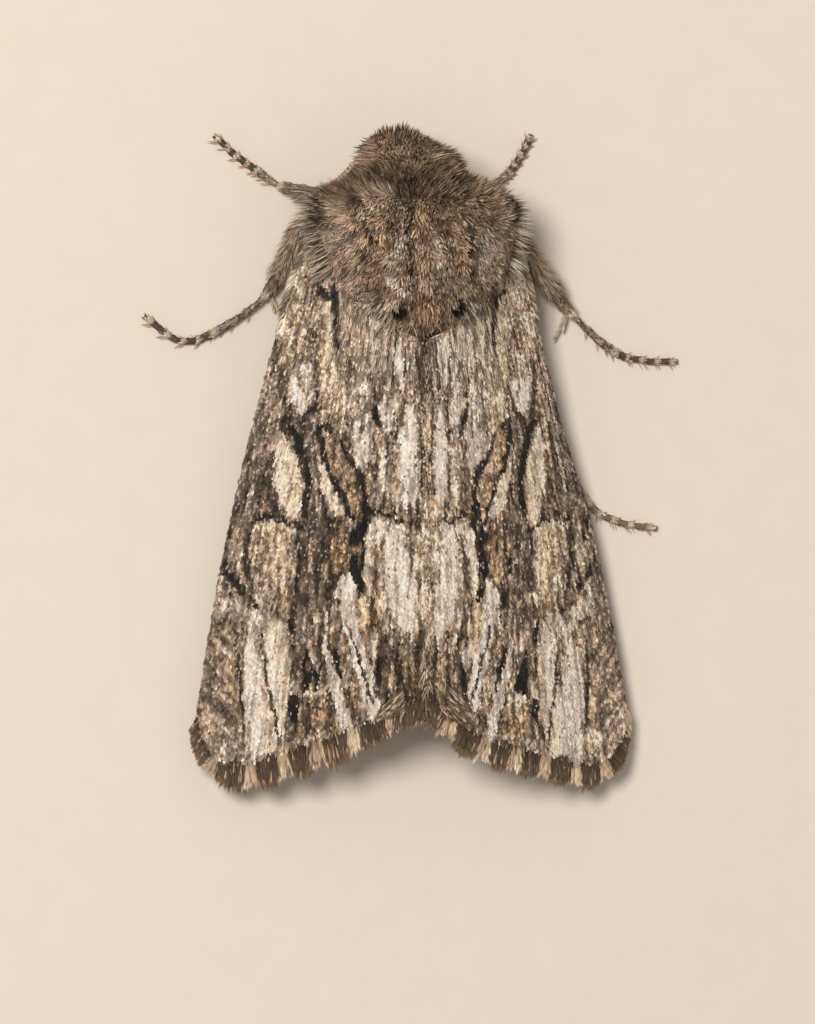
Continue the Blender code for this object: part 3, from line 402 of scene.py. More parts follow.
# ------------------------ numbers
def through(stations, at):
    """Smooth values at the places `at` on the curve through (place, value, ...) stations."""
    table = np.array(stations, float)
    places, values = table[:, 0], table[:, 1:]
    before = np.r_[0, np.arange(len(places) - 1)]
    after = np.r_[np.arange(1, len(places)), len(places) - 1]
    slopes = (values[after] - values[before]) / (places[after] - places[before])[:, None]
    at = np.clip(np.asarray(at, float), places[0], places[-1])
    i = np.clip(np.searchsorted(places, at, side="right") - 1, 0, len(places) - 2)
    span = (places[i + 1] - places[i])[..., None]
    t = (at - places[i])[..., None] / span
    keep = 1 - 3 * t ** 2 + 2 * t ** 3
    found = (values[i] * keep + values[i + 1] * (1 - keep)
             + span * slopes[i] * (t - 2 * t ** 2 + t ** 3) + span * slopes[i + 1] * (t ** 3 - t ** 2))
    return found[..., 0] if found.shape[-1] == 1 else found


def ease(value, low, high):
    """0 below low, 1 above high, smooth between."""
    t = np.clip((value - low) / (high - low), 0, 1)
    return t * t * (3 - 2 * t)


def patches(x, y, size, seed):
    """Smooth noise from 0 to 1 whose patches are about size across; size may differ along x and y."""
    sx, sy = size if isinstance(size, tuple) else (size, size)
    u, v = np.asarray(x, float) / sx + 31.7 * seed, np.asarray(y, float) / sy + 17.3 * seed
    iu, iv = np.floor(u).astype(np.int64), np.floor(v).astype(np.int64)
    fu, fv = u - iu, v - iv
    fu, fv = fu * fu * (3 - 2 * fu), fv * fv * (3 - 2 * fv)

    def corner(a, b):
        mixed = (a * 374761393 + b * 668265263 + seed * 362437) & 0x7FFFFFFF
        mixed = ((mixed ^ (mixed >> 13)) * 1274126177) & 0x7FFFFFFF
        return ((mixed ^ (mixed >> 16)) & 0xFFFF) / 65535.0

    return ((corner(iu, iv) * (1 - fu) + corner(iu + 1, iv) * fu) * (1 - fv)
            + (corner(iu, iv + 1) * (1 - fu) + corner(iu + 1, iv + 1) * fu) * fv)


def unit(vectors):
    """The same directions at length 1."""
    return vectors / np.maximum(np.linalg.norm(vectors, axis=-1, keepdims=True), 1e-9)


def rows(*columns):
    """Points or directions, one a row, from their coordinates; a single number serves every row."""
    return np.stack(np.broadcast_arrays(*columns), 1)


def jitter(number, *spreads):
    """Random rows about zero, with a spread for each coordinate."""
    return np.stack([chance.normal(0, spread, number) for spread in spreads], 1)


def tangents_of(line):
    """Directions along a row of points."""
    return unit(np.gradient(line, axis=0))


def mix(colour, tint, share):
    """Colours moved toward a tint, each by its share."""
    return colour + (tint - colour) * np.reshape(share, (-1, 1))


def paint(colour, x, y, marks):
    """Lays soft-edged marks over the colours of points at x, y."""
    for tint, strength, soft, line in marks:
        line = np.array(line, float)
        far = line[:, 2].max() + soft
        near = np.flatnonzero((x > line[:, 0].min() - far) & (x < line[:, 0].max() + far)
                              & (y > line[:, 1].min() - far) & (y < line[:, 1].max() + far))
        if not len(near):
            continue
        best = np.full(len(near), 1e9)
        for (x0, y0, r0), (x1, y1, r1) in zip(line, line[1:]):
            dx, dy = x1 - x0, y1 - y0
            t = np.clip(((x[near] - x0) * dx + (y[near] - y0) * dy) / (dx * dx + dy * dy), 0, 1)
            away = np.hypot(x[near] - x0 - t * dx, y[near] - y0 - t * dy) - (r0 + (r1 - r0) * t)
            best = np.minimum(best, away)
        colour[near] = mix(colour[near], tint, ease(-best, -soft * 0.36, soft * 0.3) * strength)
    return colour


# ------------------------ forms
def bend(y):
    """How far the body's middle lies to the moth's left."""
    return BEND_REACH * np.maximum(0.0, (BEND_START - y) / (BEND_START - HEAD_FRONT)) ** 1.3


def costa(y):
    """Half width over the forewings' leading edges."""
    back = y - WING_FRONT
    return COSTA_FRONT + COSTA_SLOPE * back - COSTA_CURVE * back * back


def roof(x, y):
    """Height of the top of the folded forewings."""
    share = np.minimum(1.0, np.abs(x) / costa(y))
    ridge = through(RIDGE_TOP, y)
    return ridge - (ridge - through(COSTA_TOP, y)) * share ** ROOF_POWER


def closing(axial, bluntness):
    """Share of its full width that a rounded form has, from -1 at its front end to 1 at its back."""
    return (1 - np.abs(axial) ** bluntness) ** (1 / bluntness)


def thorax_reach(y):
    """Half width of the thorax solid."""
    front, back = THORAX[0][0], THORAX[-1][0]
    axial = np.clip(2 * (y - front) / (back - front) - 1, -1, 1)
    return through(THORAX, y)[..., 0] * closing(axial, THORAX_BLUNTNESS)


def wing_inner(y):
    """How far from the midline a forewing starts, under the thorax's coat."""
    return np.maximum(MIDLINE_GAP, thorax_reach(y + 0.1) - 0.42)


def vein_ridges(share, y, spread):
    """1 on each vein of a forewing, falling off to each side."""
    return sum(np.exp(-((share - vein) * costa(y) / spread) ** 2) for vein in VEINS)


def relief(x, y):
    """Low folds that run along the wing, with its veins as ridges."""
    share = np.abs(x) / costa(y)
    folds = patches(share * WING_WIDTH, y, (0.42, 2.6), 5) - 0.5
    return 0.045 * vein_ridges(share, y, 0.085) * ease(y, -1.0, 4.0) + 0.09 * folds * ease(y, -5.5, -2.0)


def wing_top(x, y):
    """Height of a forewing's membrane."""
    return roof(x, y) + relief(x, y) - SCALE_DEPTH


# ------------------------ markings
def wing_ground(x, y, seed, side):
    """The forewing's colours at points in plan, x from the midline, with its veins and folds."""
    share = x / costa(y)
    across = share * WING_WIDTH
    mark_x, mark_y = x, y
    if side < 0:  # the right wing's marks lie a little otherwise
        mark_x = (x + (0.12 + 0.14 * ease(y, -2, 2)) * ease(x, 0.1, 0.9)
                  + 0.16 * ease(x, 2.6, 4.4) * ease(y, 2.0, 5.0))
        mark_x = mark_x - 0.3 * ease(x, 4.2, 4.9) * ease(y, 4.0, 6.5)
        mark_y = y - 0.28 * ease(y, 0.5, 4.0)
    mark_x = (mark_x + 0.09 * (patches(x, y, 0.3, seed) - 0.5)
              + 0.05 * (patches(across, y, (0.07, 0.3), seed + 1) - 0.5))
    mark_y = (mark_y + 0.2 * (patches(x, y, 0.3, seed + 2) - 0.5)
              + 0.2 * (patches(x, y, 0.09, seed + 3) - 0.5))
    # ground colour, with fine dark and pale lines
    colour = np.tile(GREY * 0.95, (len(x), 1))
    colour = mix(colour, TAN, 0.3 * patches(across, y, (0.35, 1.1), seed + 4))
    colour = mix(colour, BROWN * 1.3, 0.45 * ease(patches(across, y, (0.2, 0.7), seed + 5), 0.5, 0.9))
    apex = ease(share, 0.76, 0.88) * ease(y, 3.5, 5.5)
    dark_line = ease(patches(across, y, (0.06, 0.9), seed + 11), 0.64, 0.76) * (1 - apex)
    pale_line = ease(patches(across, y, (0.06, 0.8), seed + 12), 0.66, 0.8) * (1 - apex)
    colour = mix(mix(colour, PALE, 0.7 * pale_line), UMBER, 0.8 * dark_line)
    colour = paint(colour, mark_x, mark_y, WING_MARKS)
    # the lines show through the marks, least in the whitish ones
    busy = 1 - 0.72 * ease(colour.mean(1), 0.4, 0.66)
    colour = mix(colour, UMBER, 0.4 * dark_line)
    colour = mix(colour, PALE, 0.25 * pale_line * busy * ease(colour.mean(1), 0.05, 0.14))
    # speckle: along the wing, in round spots, and slanting at the apex
    fine = patches(across, y, (0.05, 0.3), seed + 6) - 0.5
    broad = patches(across, y, (0.13, 0.6), seed + 7) - 0.5
    spots = patches(x, y, 0.07, seed + 9) - 0.5
    slanted = patches(x * 0.8 + y * 0.6, y * 0.8 - x * 0.6, (0.09, 0.4), seed + 8) - 0.5
    speckle = 1.2 * fine * (1 - 0.6 * apex) + 0.6 * broad + 1.3 * spots + 1.3 * slanted * apex
    light = np.exp(busy * speckle - 0.05)
    rusty = ease(patches(across, y, (0.16, 0.5), seed + 10), 0.6, 0.85)
    colour = mix(colour, GOLD * 0.75, 0.4 * (busy * rusty * ease(y, -1.0, 2.0) * (1 - apex)))
    light *= (1 - 0.3 * vein_ridges(share, y, 0.04) * ease(y, 3.6, 5.0)) * 1.1 ** ease(-y, 0.5, 2.5)
    # painted light: the right wing's darker colours are painted up to 1.2 times brighter
    light *= (1.2 if side < 0 else 1.0) ** (1 - ease(colour.mean(1), 0.3, 0.55))
    colour = colour * light[:, None]
    depth = (colour.mean(1) / 0.5) ** 0.4
    return np.clip(colour * depth[:, None], 0.01, 0.95)


def under_ground(x, y, seed):
    """Colours of a wing's underside: pale grey-brown, with a dark spot and a dark line across."""
    colour = UNDERSIDE * (0.75 + 0.5 * patches(x, y, (0.12, 0.4), seed))[:, None]
    line = np.exp(-((y - 4.6 - 0.25 * x * x / 6) / 0.22) ** 2) * 0.5
    spot = np.exp(-((x - 2.6) ** 2 + (y - 1.2) ** 2) / 0.16) * 0.6
    return mix(colour, UMBER, np.maximum(line, spot))


def fringe_place(x, side):
    """How far each hair of the fringe stands from the middle of its tuft, in half widths."""
    middles, halves = np.array(FRINGE_TUFTS).T
    away = (x + (0.3 if side < 0 else 0.0))[:, None] - middles
    nearest = np.abs(away).argmin(1)
    return away[np.arange(len(x)), nearest] / halves[nearest]


def fringe_tint(x, y, seed, side):
    """Chequered dark and tan along the fringe."""
    offset = fringe_place(x + 0.1 * (patches(x, y, 0.12, seed) - 0.5), side)
    colour = mix(TAN * 1.3, UMBER * 0.9, 0.97 * ease(-np.abs(offset), -1.05, -0.93))
    return colour * np.exp(0.8 * (patches(x, y, 0.08, seed + 1) - 0.5))[:, None]


def body_ground(x, y, z):
    """Colours of the head, thorax and abdomen."""
    seed = BODY_SEED
    colour = mix(np.tile(BROWN * 1.35, (len(x), 1)), GREY * 0.8, 0.6 * patches(x, y, 0.5, seed))
    mark_x = x + 0.22 * (patches(x, y, 0.35, seed + 1) - 0.5)
    mark_y = y + 0.35 * (patches(x, y, 0.4, seed + 2) - 0.5)
    top = ease(z, 2.6, 3.6)
    colour = mix(colour, paint(colour.copy(), mark_x, mark_y, BODY_MARKS), top)
    # painted shade: the top of the body is darkened toward its right side, by up to 0.27
    colour *= (1 - 0.27 * ease(bend(y) - x, 0.1, 1.6) * top)[:, None]
    colour = mix(colour, HEAD_BROWN, 0.85 * ease(-y, 8.2, 8.9))
    colour = mix(colour, COLLAR_BROWN, 0.6 * (ease(-y, 7.9, 8.3) * ease(y, -9.0, -8.6) * top))
    colour = mix(colour, FLANK_BUFF, 0.75 * (1 - ease(z, 1.6, 3.0)))
    rings = 0.5 + 0.5 * np.cos((y + 3.4) * 2 * math.pi / ABDOMEN_RING)
    colour = mix(colour, BELLY_BUFF * (0.7 + 0.35 * rings)[:, None], ease(y, -3.6, -3.0))
    return np.clip(colour, 0.012, 0.9)


# ------------------------ legs
def leg_line(joints):
    """Points along a leg with their stage: 0 hip, 1 knee, 2 ankle, 3 end of the first foot joint, 4 tip."""
    hip, knee, ankle, *foot = joints
    knots = [(0.0, *hip), (0.5, *[(a + b) / 2 for a, b in zip(hip, knee)]), (1.0, *knee),
             (1.5, *[(a + b) / 2 + lift for a, b, lift in zip(knee, ankle, (0, 0, 0.04))]), (2.0, *ankle),
             (3.0, *foot[0], FOOT_HEIGHT), (3.55, *foot[1], FOOT_HEIGHT), (4.0, *foot[2], FOOT_HEIGHT)]
    stages = np.linspace(0, 4, 4 * LEG_STEPS + 1)
    return stages, through(knots, stages)


def leg_radius(stages, shin):
    """Radius of a leg's skin; the five joints of the foot each widen toward their end."""
    swell = through(((0.0, 0.24), (0.4, 0.3), (0.85, 0.2), (1.0, 0.18), (1.35, shin), (1.7, shin * 0.9),
                     (1.93, 0.16), (2.0, 0.12), (2.1, 0.12), (2.9, 0.14), (3.0, 0.13), (4.0, 0.115)), stages)
    joint = np.where(stages > 3, (stages - 3) * 4 % 1, np.clip(stages - 2, 0, 1))
    return swell * np.where(stages > 2, 0.88 + 0.2 * joint ** 2, 1)


LEG_LINES = {name: leg_line(joints) for name, (_, *joints) in LEGS.items()}


def leg_tint(name, stages, around, seed):
    """A leg's colours: brown hairy shins, dark feet with a pale ring at the end of each joint."""
    hind = name.startswith("hindleg")
    shin = HAIR_PALE * 0.95 if hind else HAIR_TAN * (0.8 if name.startswith("foreleg") else 0.95)
    noise = patches(stages * 9, around * 2, 0.5, seed)
    colour = np.tile(shin, (len(stages), 1)) * (0.7 + 0.6 * noise)[:, None]
    dark = UMBER * 1.1
    band = ease(stages, 1.62, 1.74) * ease(-stages, -1.92, -1.84)
    colour = mix(colour, dark * 1.4, band * (0.35 if hind else 0.7))
    colour = mix(colour, LEG_RING, 0.85 * (ease(stages, 1.88, 1.95) * ease(-stages, -2.04, -1.98)))
    # the foot's first joint is speckled, the other four are ringed
    speckle = ease(patches(stages * 9, around * 2, (0.35, 0.5), seed + 3), 0.35, 0.65)
    speckled = mix(dark * (4.5 if hind else 1.2), PALE, speckle * (0.95 if hind else 0.6))
    colour = mix(colour, speckled, ease(stages, 2.0, 2.04) * ease(-stages, -3.0, -2.96))
    colour = mix(colour, LEG_RING, 0.9 * (ease(stages, 2.84, 2.9) * ease(-stages, -3.02, -2.98)))
    ringed = mix(dark * (2.4 if hind else 1), LEG_RING, ease((stages - 3) * 4 % 1, 0.6, 0.72))
    colour = mix(colour, ringed, 0.95 * ease(stages, 2.99, 3.01))
    return np.clip(colour, 0.015, 0.85)


# ------------------------ making pieces
def new_object(name, data):
    """An object in the scene."""
    obj = bpy.data.objects.new(name, data)
    bpy.context.scene.collection.objects.link(obj)
    return obj


def add_piece(name, data, material, replaced=()):
    """Puts a finished mesh in the scene, riding on the one body."""
    data.materials.append(material)
    obj = new_object(name, data)
    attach(obj, "root")
    if replaced:
        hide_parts(*replaced)


def mesh_from(bm, name):
    """A smooth mesh in metres from a bmesh in millimetres."""
    bmesh.ops.scale(bm, vec=(MM, MM, MM), verts=bm.verts)
    bmesh.ops.recalc_face_normals(bm, faces=bm.faces)
    data = bpy.data.meshes.new(name)
    bm.to_mesh(data)
    bm.free()
    data.shade_smooth()
    return data


def shape_of(data, name, voxel=None):
    """A bmesh of the shape that this data takes, remeshed as one skin if a voxel size is given."""
    obj = new_object(name, data)
    if voxel:
        remesh = obj.modifiers.new("one_skin", "REMESH")
        remesh.mode = "VOXEL"
        remesh.voxel_size = voxel
        remesh.use_smooth_shade = True
    bpy.context.view_layer.update()
    made = bpy.data.meshes.new_from_object(obj.evaluated_get(bpy.context.evaluated_depsgraph_get()))
    bpy.data.objects.remove(obj)
    bm = bmesh.new()
    bm.from_mesh(made)
    return bm


def read(items, field):
    """A vector of each vertex or face of a mesh, in rows."""
    found = np.empty(len(items) * 3, np.float32)
    items.foreach_get(field, found)
    return found.reshape(-1, 3)


def places_of(data):
    """A mesh's vertices, in millimetres."""
    return read(data.vertices, "co").astype(float) / MM


def tint_points(data, colours):
    """Stores a colour for each vertex as the attribute that the materials read."""
    layer = data.attributes.new("tint", "FLOAT_COLOR", "POINT")
    values = np.ones((len(colours), 4), np.float32)
    values[:, :3] = colours
    layer.data.foreach_set("color", values.ravel())


class Shape:
    """A closed sliver that is repeated: points as (along, side, lift), lift in half widths, and triangles."""

    def __init__(self, points, faces):
        self.points, self.faces = np.array(points, float), np.array(faces)
        if np.linalg.det(self.points[self.faces]).sum() < 0:
            self.faces = self.faces[:, ::-1]


SHIELD = Shape(((0, 0, 0), (0.5, -0.5, 0), (1, -0.34, 0), (1, 0.34, 0), (0.5, 0.5, 0), (0.62, 0, 1)),
               ((0, 1, 5), (1, 2, 5), (2, 3, 5), (3, 4, 5), (4, 0, 5), (0, 4, 3), (0, 3, 2), (0, 2, 1)))
LEAF = Shape(((0, 0, 0), (0.66, -0.5, 0), (1, 0, 0), (0.66, 0.5, 0), (0.66, 0, 1)),
             ((0, 1, 4), (1, 2, 4), (2, 3, 4), (3, 0, 4), (0, 3, 2), (0, 2, 1)))
FORK = Shape(((0, 0, 0), (0.8, -0.5, 0), (1, -0.36, 0), (0.86, 0, 0), (1, 0.36, 0), (0.8, 0.5, 0),
              (0.6, 0, 1)),
             ((0, 1, 6), (1, 2, 6), (2, 3, 6), (3, 4, 6), (4, 5, 6), (5, 0, 6),
              (3, 2, 1), (3, 1, 0), (3, 0, 5), (3, 5, 4)))
HAIR = Shape(((0, -0.4, 0), (0, 0.4, 0), (0, 0, 0.8), (0.55, -0.5, 0), (0.55, 0.5, 0), (0.55, 0, 1),
              (1, 0, 0.2)),
             ((0, 1, 4), (0, 4, 3), (1, 2, 5), (1, 5, 4), (2, 0, 3), (2, 3, 5), (3, 4, 6), (4, 5, 6),
              (5, 3, 6), (0, 2, 1)))


class Coat:
    """Gathers scales and hairs, and joins them into one piece."""

    def __init__(self):
        self.points, self.faces, self.tints, self.maps, self.count = [], [], [], [], 0

    def add(self, shape, roots, along, up, length, width, tint, ends, chart, curl=0.0, thick=0.3):
        """Scales rooted at roots, running along, with their outer side up.

        ends has the brightness of their colour at the root and at the tip, or the tips' own colours in its
        place; chart is each root's place on the piece's map.
        """
        number, corners = len(roots), len(shape.points)
        along = unit(along)
        side = unit(np.cross(up, along))
        up = np.cross(along, side)
        length, width = np.broadcast_to(length, number), np.broadcast_to(width, number)
        curl = np.broadcast_to(curl, number)
        run, off, lift = (shape.points[:, i] for i in range(3))
        placed = (roots[:, None] + along[:, None] * (length[:, None] * run)[..., None]
                  + side[:, None] * (width[:, None] * off)[..., None]
                  + up[:, None] * (width[:, None] * lift * thick
                                   + (curl * length)[:, None] * run ** 2)[..., None])
        self.points.append(placed.reshape(-1, 3))
        self.faces.append((shape.faces[None] + (self.count + corners * np.arange(number))[:, None, None])
                          .reshape(-1, 3))
        base, tip = tint * ends[0], tint * ends[1] if np.ndim(ends[1]) == 0 else ends[1]
        self.tints.append((base[:, None] + (tip - base)[:, None] * run[None, :, None]).reshape(-1, 3))
        spread = np.stack([off, run - 0.5], 1) * PATCH
        self.maps.append((chart[:, None] + spread[None]).reshape(-1, 2))
        self.count += number * corners

    def build(self, name, material, slot):
        points, faces = np.concatenate(self.points), np.concatenate(self.faces)
        tints, maps = np.concatenate(self.tints), np.concatenate(self.maps)
        data = bpy.data.meshes.new(name)
        data.vertices.add(len(points))
        data.vertices.foreach_set("co", (points * MM).astype(np.float32).ravel())
        data.loops.add(faces.size)
        data.loops.foreach_set("vertex_index", faces.astype(np.int32).ravel())
        data.polygons.add(len(faces))
        data.polygons.foreach_set("loop_start", np.arange(0, faces.size, 3, dtype=np.int32))
        data.update(calc_edges=True)
        data.shade_flat()
        layer = data.uv_layers.new(name="OFBake")
        layer.uv.foreach_set("vector", maps[faces.ravel()].astype(np.float32).ravel())
        tint_points(data, np.clip(tints, 0.006, 0.95))
        print(name, len(faces), "triangles")
        add_piece(name, data, material)


def vary(tint, spread, dark=0.0, light=0.0, number=None):
    """Each scale's own shade of its tint, or of one tint for a number of them.

    The brightness has a spread, and a share of the scales are dark; a share are painted pale toward cream,
    partly as pale scales and partly as painted glints of light.
    """
    number = number or len(tint)
    tint = tint * np.exp(chance.normal(0, spread, number))[:, None]
    warm = chance.normal(0, 0.05, number)
    tint = tint * np.stack([1 + warm, np.ones(number), 1 - warm], 1)
    pick = chance.random(number)
    tint[pick < dark] *= 0.3
    # painted highlight: these scales are moved toward cream as glints of light, besides being pale scales
    glints_and_pale_scales = pick > 1 - light
    tint[glints_and_pale_scales] = mix(tint[glints_and_pale_scales], CREAM * 0.85, 0.6)
    return np.clip(tint, 0.01, 0.93)


# ------------------------ materials
def new_group(name, inputs, outputs):
    """An empty shader node group with its named sockets, and its input and output nodes."""
    group = bpy.data.node_groups.new(name, "ShaderNodeTree")
    for label, kind, value in inputs:
        socket = group.interface.new_socket(label, in_out="INPUT", socket_type=kind)
        socket.default_value = value
    for label, kind in outputs:
        group.interface.new_socket(label, in_out="OUTPUT", socket_type=kind)
    return group, group.nodes.new("NodeGroupInput"), group.nodes.new("NodeGroupOutput")


def new_material(name):
    """A material with its nodes, the call that links them, and its shader."""
    material = bpy.data.materials.new(name)
    material.use_nodes = True
    tree = material.node_tree
    return material, tree.nodes, tree.links.new, tree.nodes["Principled BSDF"]


def set_inputs(node, values):
    for socket, value in values.items():
        node.inputs[socket].default_value = value


def calculated(tree, operation, *inputs):
    """The output of a Math node fed by sockets and numbers."""
    node = tree.nodes.new("ShaderNodeMath")
    node.operation = operation
    for socket, value in zip(node.inputs, inputs):
        if isinstance(value, float):
            socket.default_value = value
        else:
            tree.links.new(value, socket)
    return node.outputs[0]


def scale_grain_group():
    """Fine ribs and dust on scales: shades a colour, varies the roughness and roughens the surface."""
    group, given, out = new_group(
        "scale_grain",
        (("Color", "NodeSocketColor", (0.5, 0.5, 0.5, 1)), ("Grain per metre", "NodeSocketFloat", 20000.0),
         ("Shading", "NodeSocketFloat", 0.3), ("Relief", "NodeSocketFloat", 0.4),
         ("Roughness", "NodeSocketFloat", 0.5)),
        (("Color", "NodeSocketColor"), ("Roughness", "NodeSocketFloat"), ("Normal", "NodeSocketVector")))
    nodes, link = group.nodes, group.links.new
    place, noise = nodes.new("ShaderNodeTexCoord"), nodes.new("ShaderNodeTexNoise")
    set_inputs(noise, {"Detail": 3.0})
    link(place.outputs["Object"], noise.inputs["Vector"])
    link(given.outputs["Grain per metre"], noise.inputs["Scale"])
    centred = calculated(group, "SUBTRACT", noise.outputs["Fac"], 0.5)
    shade = calculated(group, "MULTIPLY_ADD", centred, given.outputs["Shading"], 1.0)
    rough = calculated(group, "MULTIPLY_ADD", centred, 0.3, given.outputs["Roughness"])
    tinted = nodes.new("ShaderNodeVectorMath")
    tinted.operation = "SCALE"
    link(given.outputs["Color"], tinted.inputs[0])
    link(shade, tinted.inputs["Scale"])
    bump = nodes.new("ShaderNodeBump")
    set_inputs(bump, {"Distance": 0.02 * MM})
    link(given.outputs["Relief"], bump.inputs["Strength"])
    link(noise.outputs["Fac"], bump.inputs["Height"])
    link(tinted.outputs[0], out.inputs["Color"])
    link(rough, out.inputs["Roughness"])
    link(bump.outputs["Normal"], out.inputs["Normal"])
    return group


GRAIN = scale_grain_group()


def scaly(name, grain, shading, relief_strength, roughness, specular, sheen=0.0):
    """A material that takes its markings from the tint attribute and its fine grain from the shared group."""
    material, nodes, link, shader = new_material(name)
    tint = nodes.new("ShaderNodeAttribute")
    tint.attribute_name = "tint"
    effect = nodes.new("ShaderNodeGroup")
    effect.node_tree = GRAIN
    set_inputs(effect, {"Grain per metre": grain, "Shading": shading, "Relief": relief_strength,
                        "Roughness": roughness})
    link(tint.outputs["Color"], effect.inputs["Color"])
    link(effect.outputs["Color"], shader.inputs["Base Color"])
    link(effect.outputs["Roughness"], shader.inputs["Roughness"])
    link(effect.outputs["Normal"], shader.inputs["Normal"])
    set_inputs(shader, {"Specular IOR Level": specular, "Sheen Weight": sheen, "Sheen Roughness": 0.4})
    return material


def eye_material():
    """Dark, glossy, and finely faceted."""
    material, nodes, link, shader = new_material("compound_eye")
    place, cells = nodes.new("ShaderNodeTexCoord"), nodes.new("ShaderNodeTexVoronoi")
    set_inputs(cells, {"Scale": 36000.0})
    link(place.outputs["Object"], cells.inputs["Vector"])
    mottled, ramp = nodes.new("ShaderNodeTexNoise"), nodes.new("ShaderNodeValToRGB")
    set_inputs(mottled, {"Scale": 2600.0})
    link(place.outputs["Object"], mottled.inputs["Vector"])
    dark, light = ramp.color_ramp.elements
    dark.position, dark.color = 0.35, (0.012, 0.009, 0.007, 1)
    light.position, light.color = 0.7, (0.06, 0.042, 0.028, 1)
    link(mottled.outputs["Fac"], ramp.inputs["Fac"])
    bump = nodes.new("ShaderNodeBump")
    bump.invert = True
    set_inputs(bump, {"Strength": 0.5, "Distance": 0.01 * MM})
    link(cells.outputs["Distance"], bump.inputs["Height"])
    link(ramp.outputs["Color"], shader.inputs["Base Color"])
    link(bump.outputs["Normal"], shader.inputs["Normal"])
    set_inputs(shader, {"Roughness": 0.3, "Specular IOR Level": 0.3, "Coat Weight": 0.25,
                        "Coat Roughness": 0.06})
    return material


wing_skin_finish = scaly("wing_membrane_and_scale_bases", 14000.0, 0.5, 0.5, 0.6, 0.2)
wing_scale_finish = scaly("wing_scales", 26000.0, 0.35, 0.5, 0.38, 0.22)
body_skin_finish = scaly("body_skin", 9000.0, 0.4, 0.5, 0.65, 0.25)
fur_finish = scaly("hair_scales", 22000.0, 0.35, 0.4, 0.5, 0.22, sheen=0.05)
leg_finish = scaly("leg_scales_and_hair", 24000.0, 0.35, 0.4, 0.48, 0.25)
horn_finish = scaly("claws_spurs_and_spines", 12000.0, 0.3, 0.2, 0.3, 0.5)
feeler_finish = scaly("feeler_rings", 16000.0, 0.35, 0.6, 0.5, 0.4)
eye_finish = eye_material()


# ------------------------ wings
def placed(x, y, side):
    """World x of a wing's points: the moth's right wing is folded a little closer."""
    return x if side > 0 else -x * (1 - 0.05 * ease(-y, -2.5, 2.0))


def forewing_point(share, y):
    """A place in plan, by its share of the way from the wing's inner edge to its leading edge."""
    return wing_inner(y) + share * (costa(y) - EDGE_INSET - wing_inner(y)), y


def edge_point(share, side):
    """Where the forewing's membrane ends, in plan."""
    return forewing_point(share, through(WING_EDGE[side], share))


def forewing_outline(across, back, side):
    share = 1 - (1 - across) ** 1.3
    return forewing_point(share, WING_FRONT + back * (through(WING_EDGE[side], share) - WING_FRONT))


def hindwing_point(share, y):
    return HINDWING_INNER + share * (costa(y) - HINDWING_INSET - HINDWING_INNER), y


def hindwing_edge(share):
    """Where the hindwing's membrane ends, in plan."""
    return hindwing_point(share, through(WING_EDGE[1], 0.12 + 0.76 * share) - HINDWING_SHORTER + 0.5)


def hindwing_outline(across, back, side):
    return hindwing_point(across, HINDWING_FRONT + back * (hindwing_edge(across)[1] - HINDWING_FRONT))


def hindwing_top(x, y):
    return roof(x, y) - HINDWING_DROP


def lay_sheet(name, side, columns, lines, outline, top, thick):
    """A thin closed wing laid on its top surface: its mesh, its points and which of them lie below."""
    bm = bmesh.new()
    bmesh.ops.create_grid(bm, x_segments=columns, y_segments=lines, size=1.0)
    grid = np.array([vert.co for vert in bm.verts])
    x, y = outline((1 + grid[:, 0]) / 2, (1 + grid[:, 1]) / 2, side)
    fall = (top(x, y) - top(x + 0.01, y)) / 0.01
    carried = bm.verts.layers.float.new("thickness")
    laid = rows(placed(x, y, side), y, top(x, y))
    for vert, place, depth in zip(bm.verts, laid, thick * np.hypot(1, fall)):
        vert.co = place
        vert[carried] = depth
    grown = bmesh.ops.extrude_face_region(bm, geom=bm.faces[:], use_keep_orig=True)
    lower = [item for item in grown["geom"] if isinstance(item, bmesh.types.BMVert)]
    for vert in lower:
        vert.co.z -= vert[carried]
    below = np.zeros(len(bm.verts), bool)
    bm.verts.index_update()
    below[[vert.index for vert in lower]] = True
    bm.verts.layers.float.remove(carried)
    data = mesh_from(bm, name)
    return data, places_of(data), below


def surface_frame(x, y, side, top):
    """Points on a wing's surface with the direction the scales run and the outward normal."""
    step = 0.02
    lean = (x / costa(y)) * (COSTA_SLOPE - 2 * COSTA_CURVE * (y - WING_FRONT))
    rise_x = (top(x + step, y) - top(x - step, y)) / (2 * step)
    rise_y = (top(x, y + step) - top(x, y - step)) / (2 * step)
    return (rows(placed(x, y, side), y, top(x, y)), unit(rows(side * lean, 1.0, lean * rise_x + rise_y)),
            unit(rows(-side * rise_x, -rise_y, 1.0)))


def tilted(along, up, raise_angle, roll):
    """The scales' own directions: raised at their tips, and rolled about their length."""
    side = np.cross(up, along)
    up = unit(up * np.cos(roll)[:, None] + side * np.sin(roll)[:, None])
    lifted = along * np.cos(raise_angle)[:, None] + up * np.sin(raise_angle)[:, None]
    return unit(lifted), unit(up * np.cos(raise_angle)[:, None] - along * np.sin(raise_angle)[:, None])


def wing_grid(pitch_across, pitch_along, front, edge, inner, outer, top):
    """Roots in staggered lines, evenly spaced over the curved surface."""
    found = []
    for line, y in enumerate(np.arange(front, WING_BACK, pitch_along)):
        fine = np.linspace(float(inner(y)), float(outer(y)), 120)
        arc = np.r_[0, np.cumsum(np.hypot(np.diff(fine), np.diff(top(fine, np.full_like(fine, y)))))]
        x = np.interp(np.arange((0.25 + 0.5 * (line % 2)) * pitch_across, arc[-1], pitch_across), arc, fine)
        share = (x - fine[0]) / max(fine[-1] - fine[0], 1e-6)
        keep = y < edge(share)
        found.append(rows(x[keep], y))
    return np.concatenate(found).T


def wing_chart(x, y):
    """A place on a wing coat's map: the wing laid flat."""
    return rows(0.02 + 0.96 * x / 7.4, 0.02 + 0.96 * (y + 7.0) / 17.2)


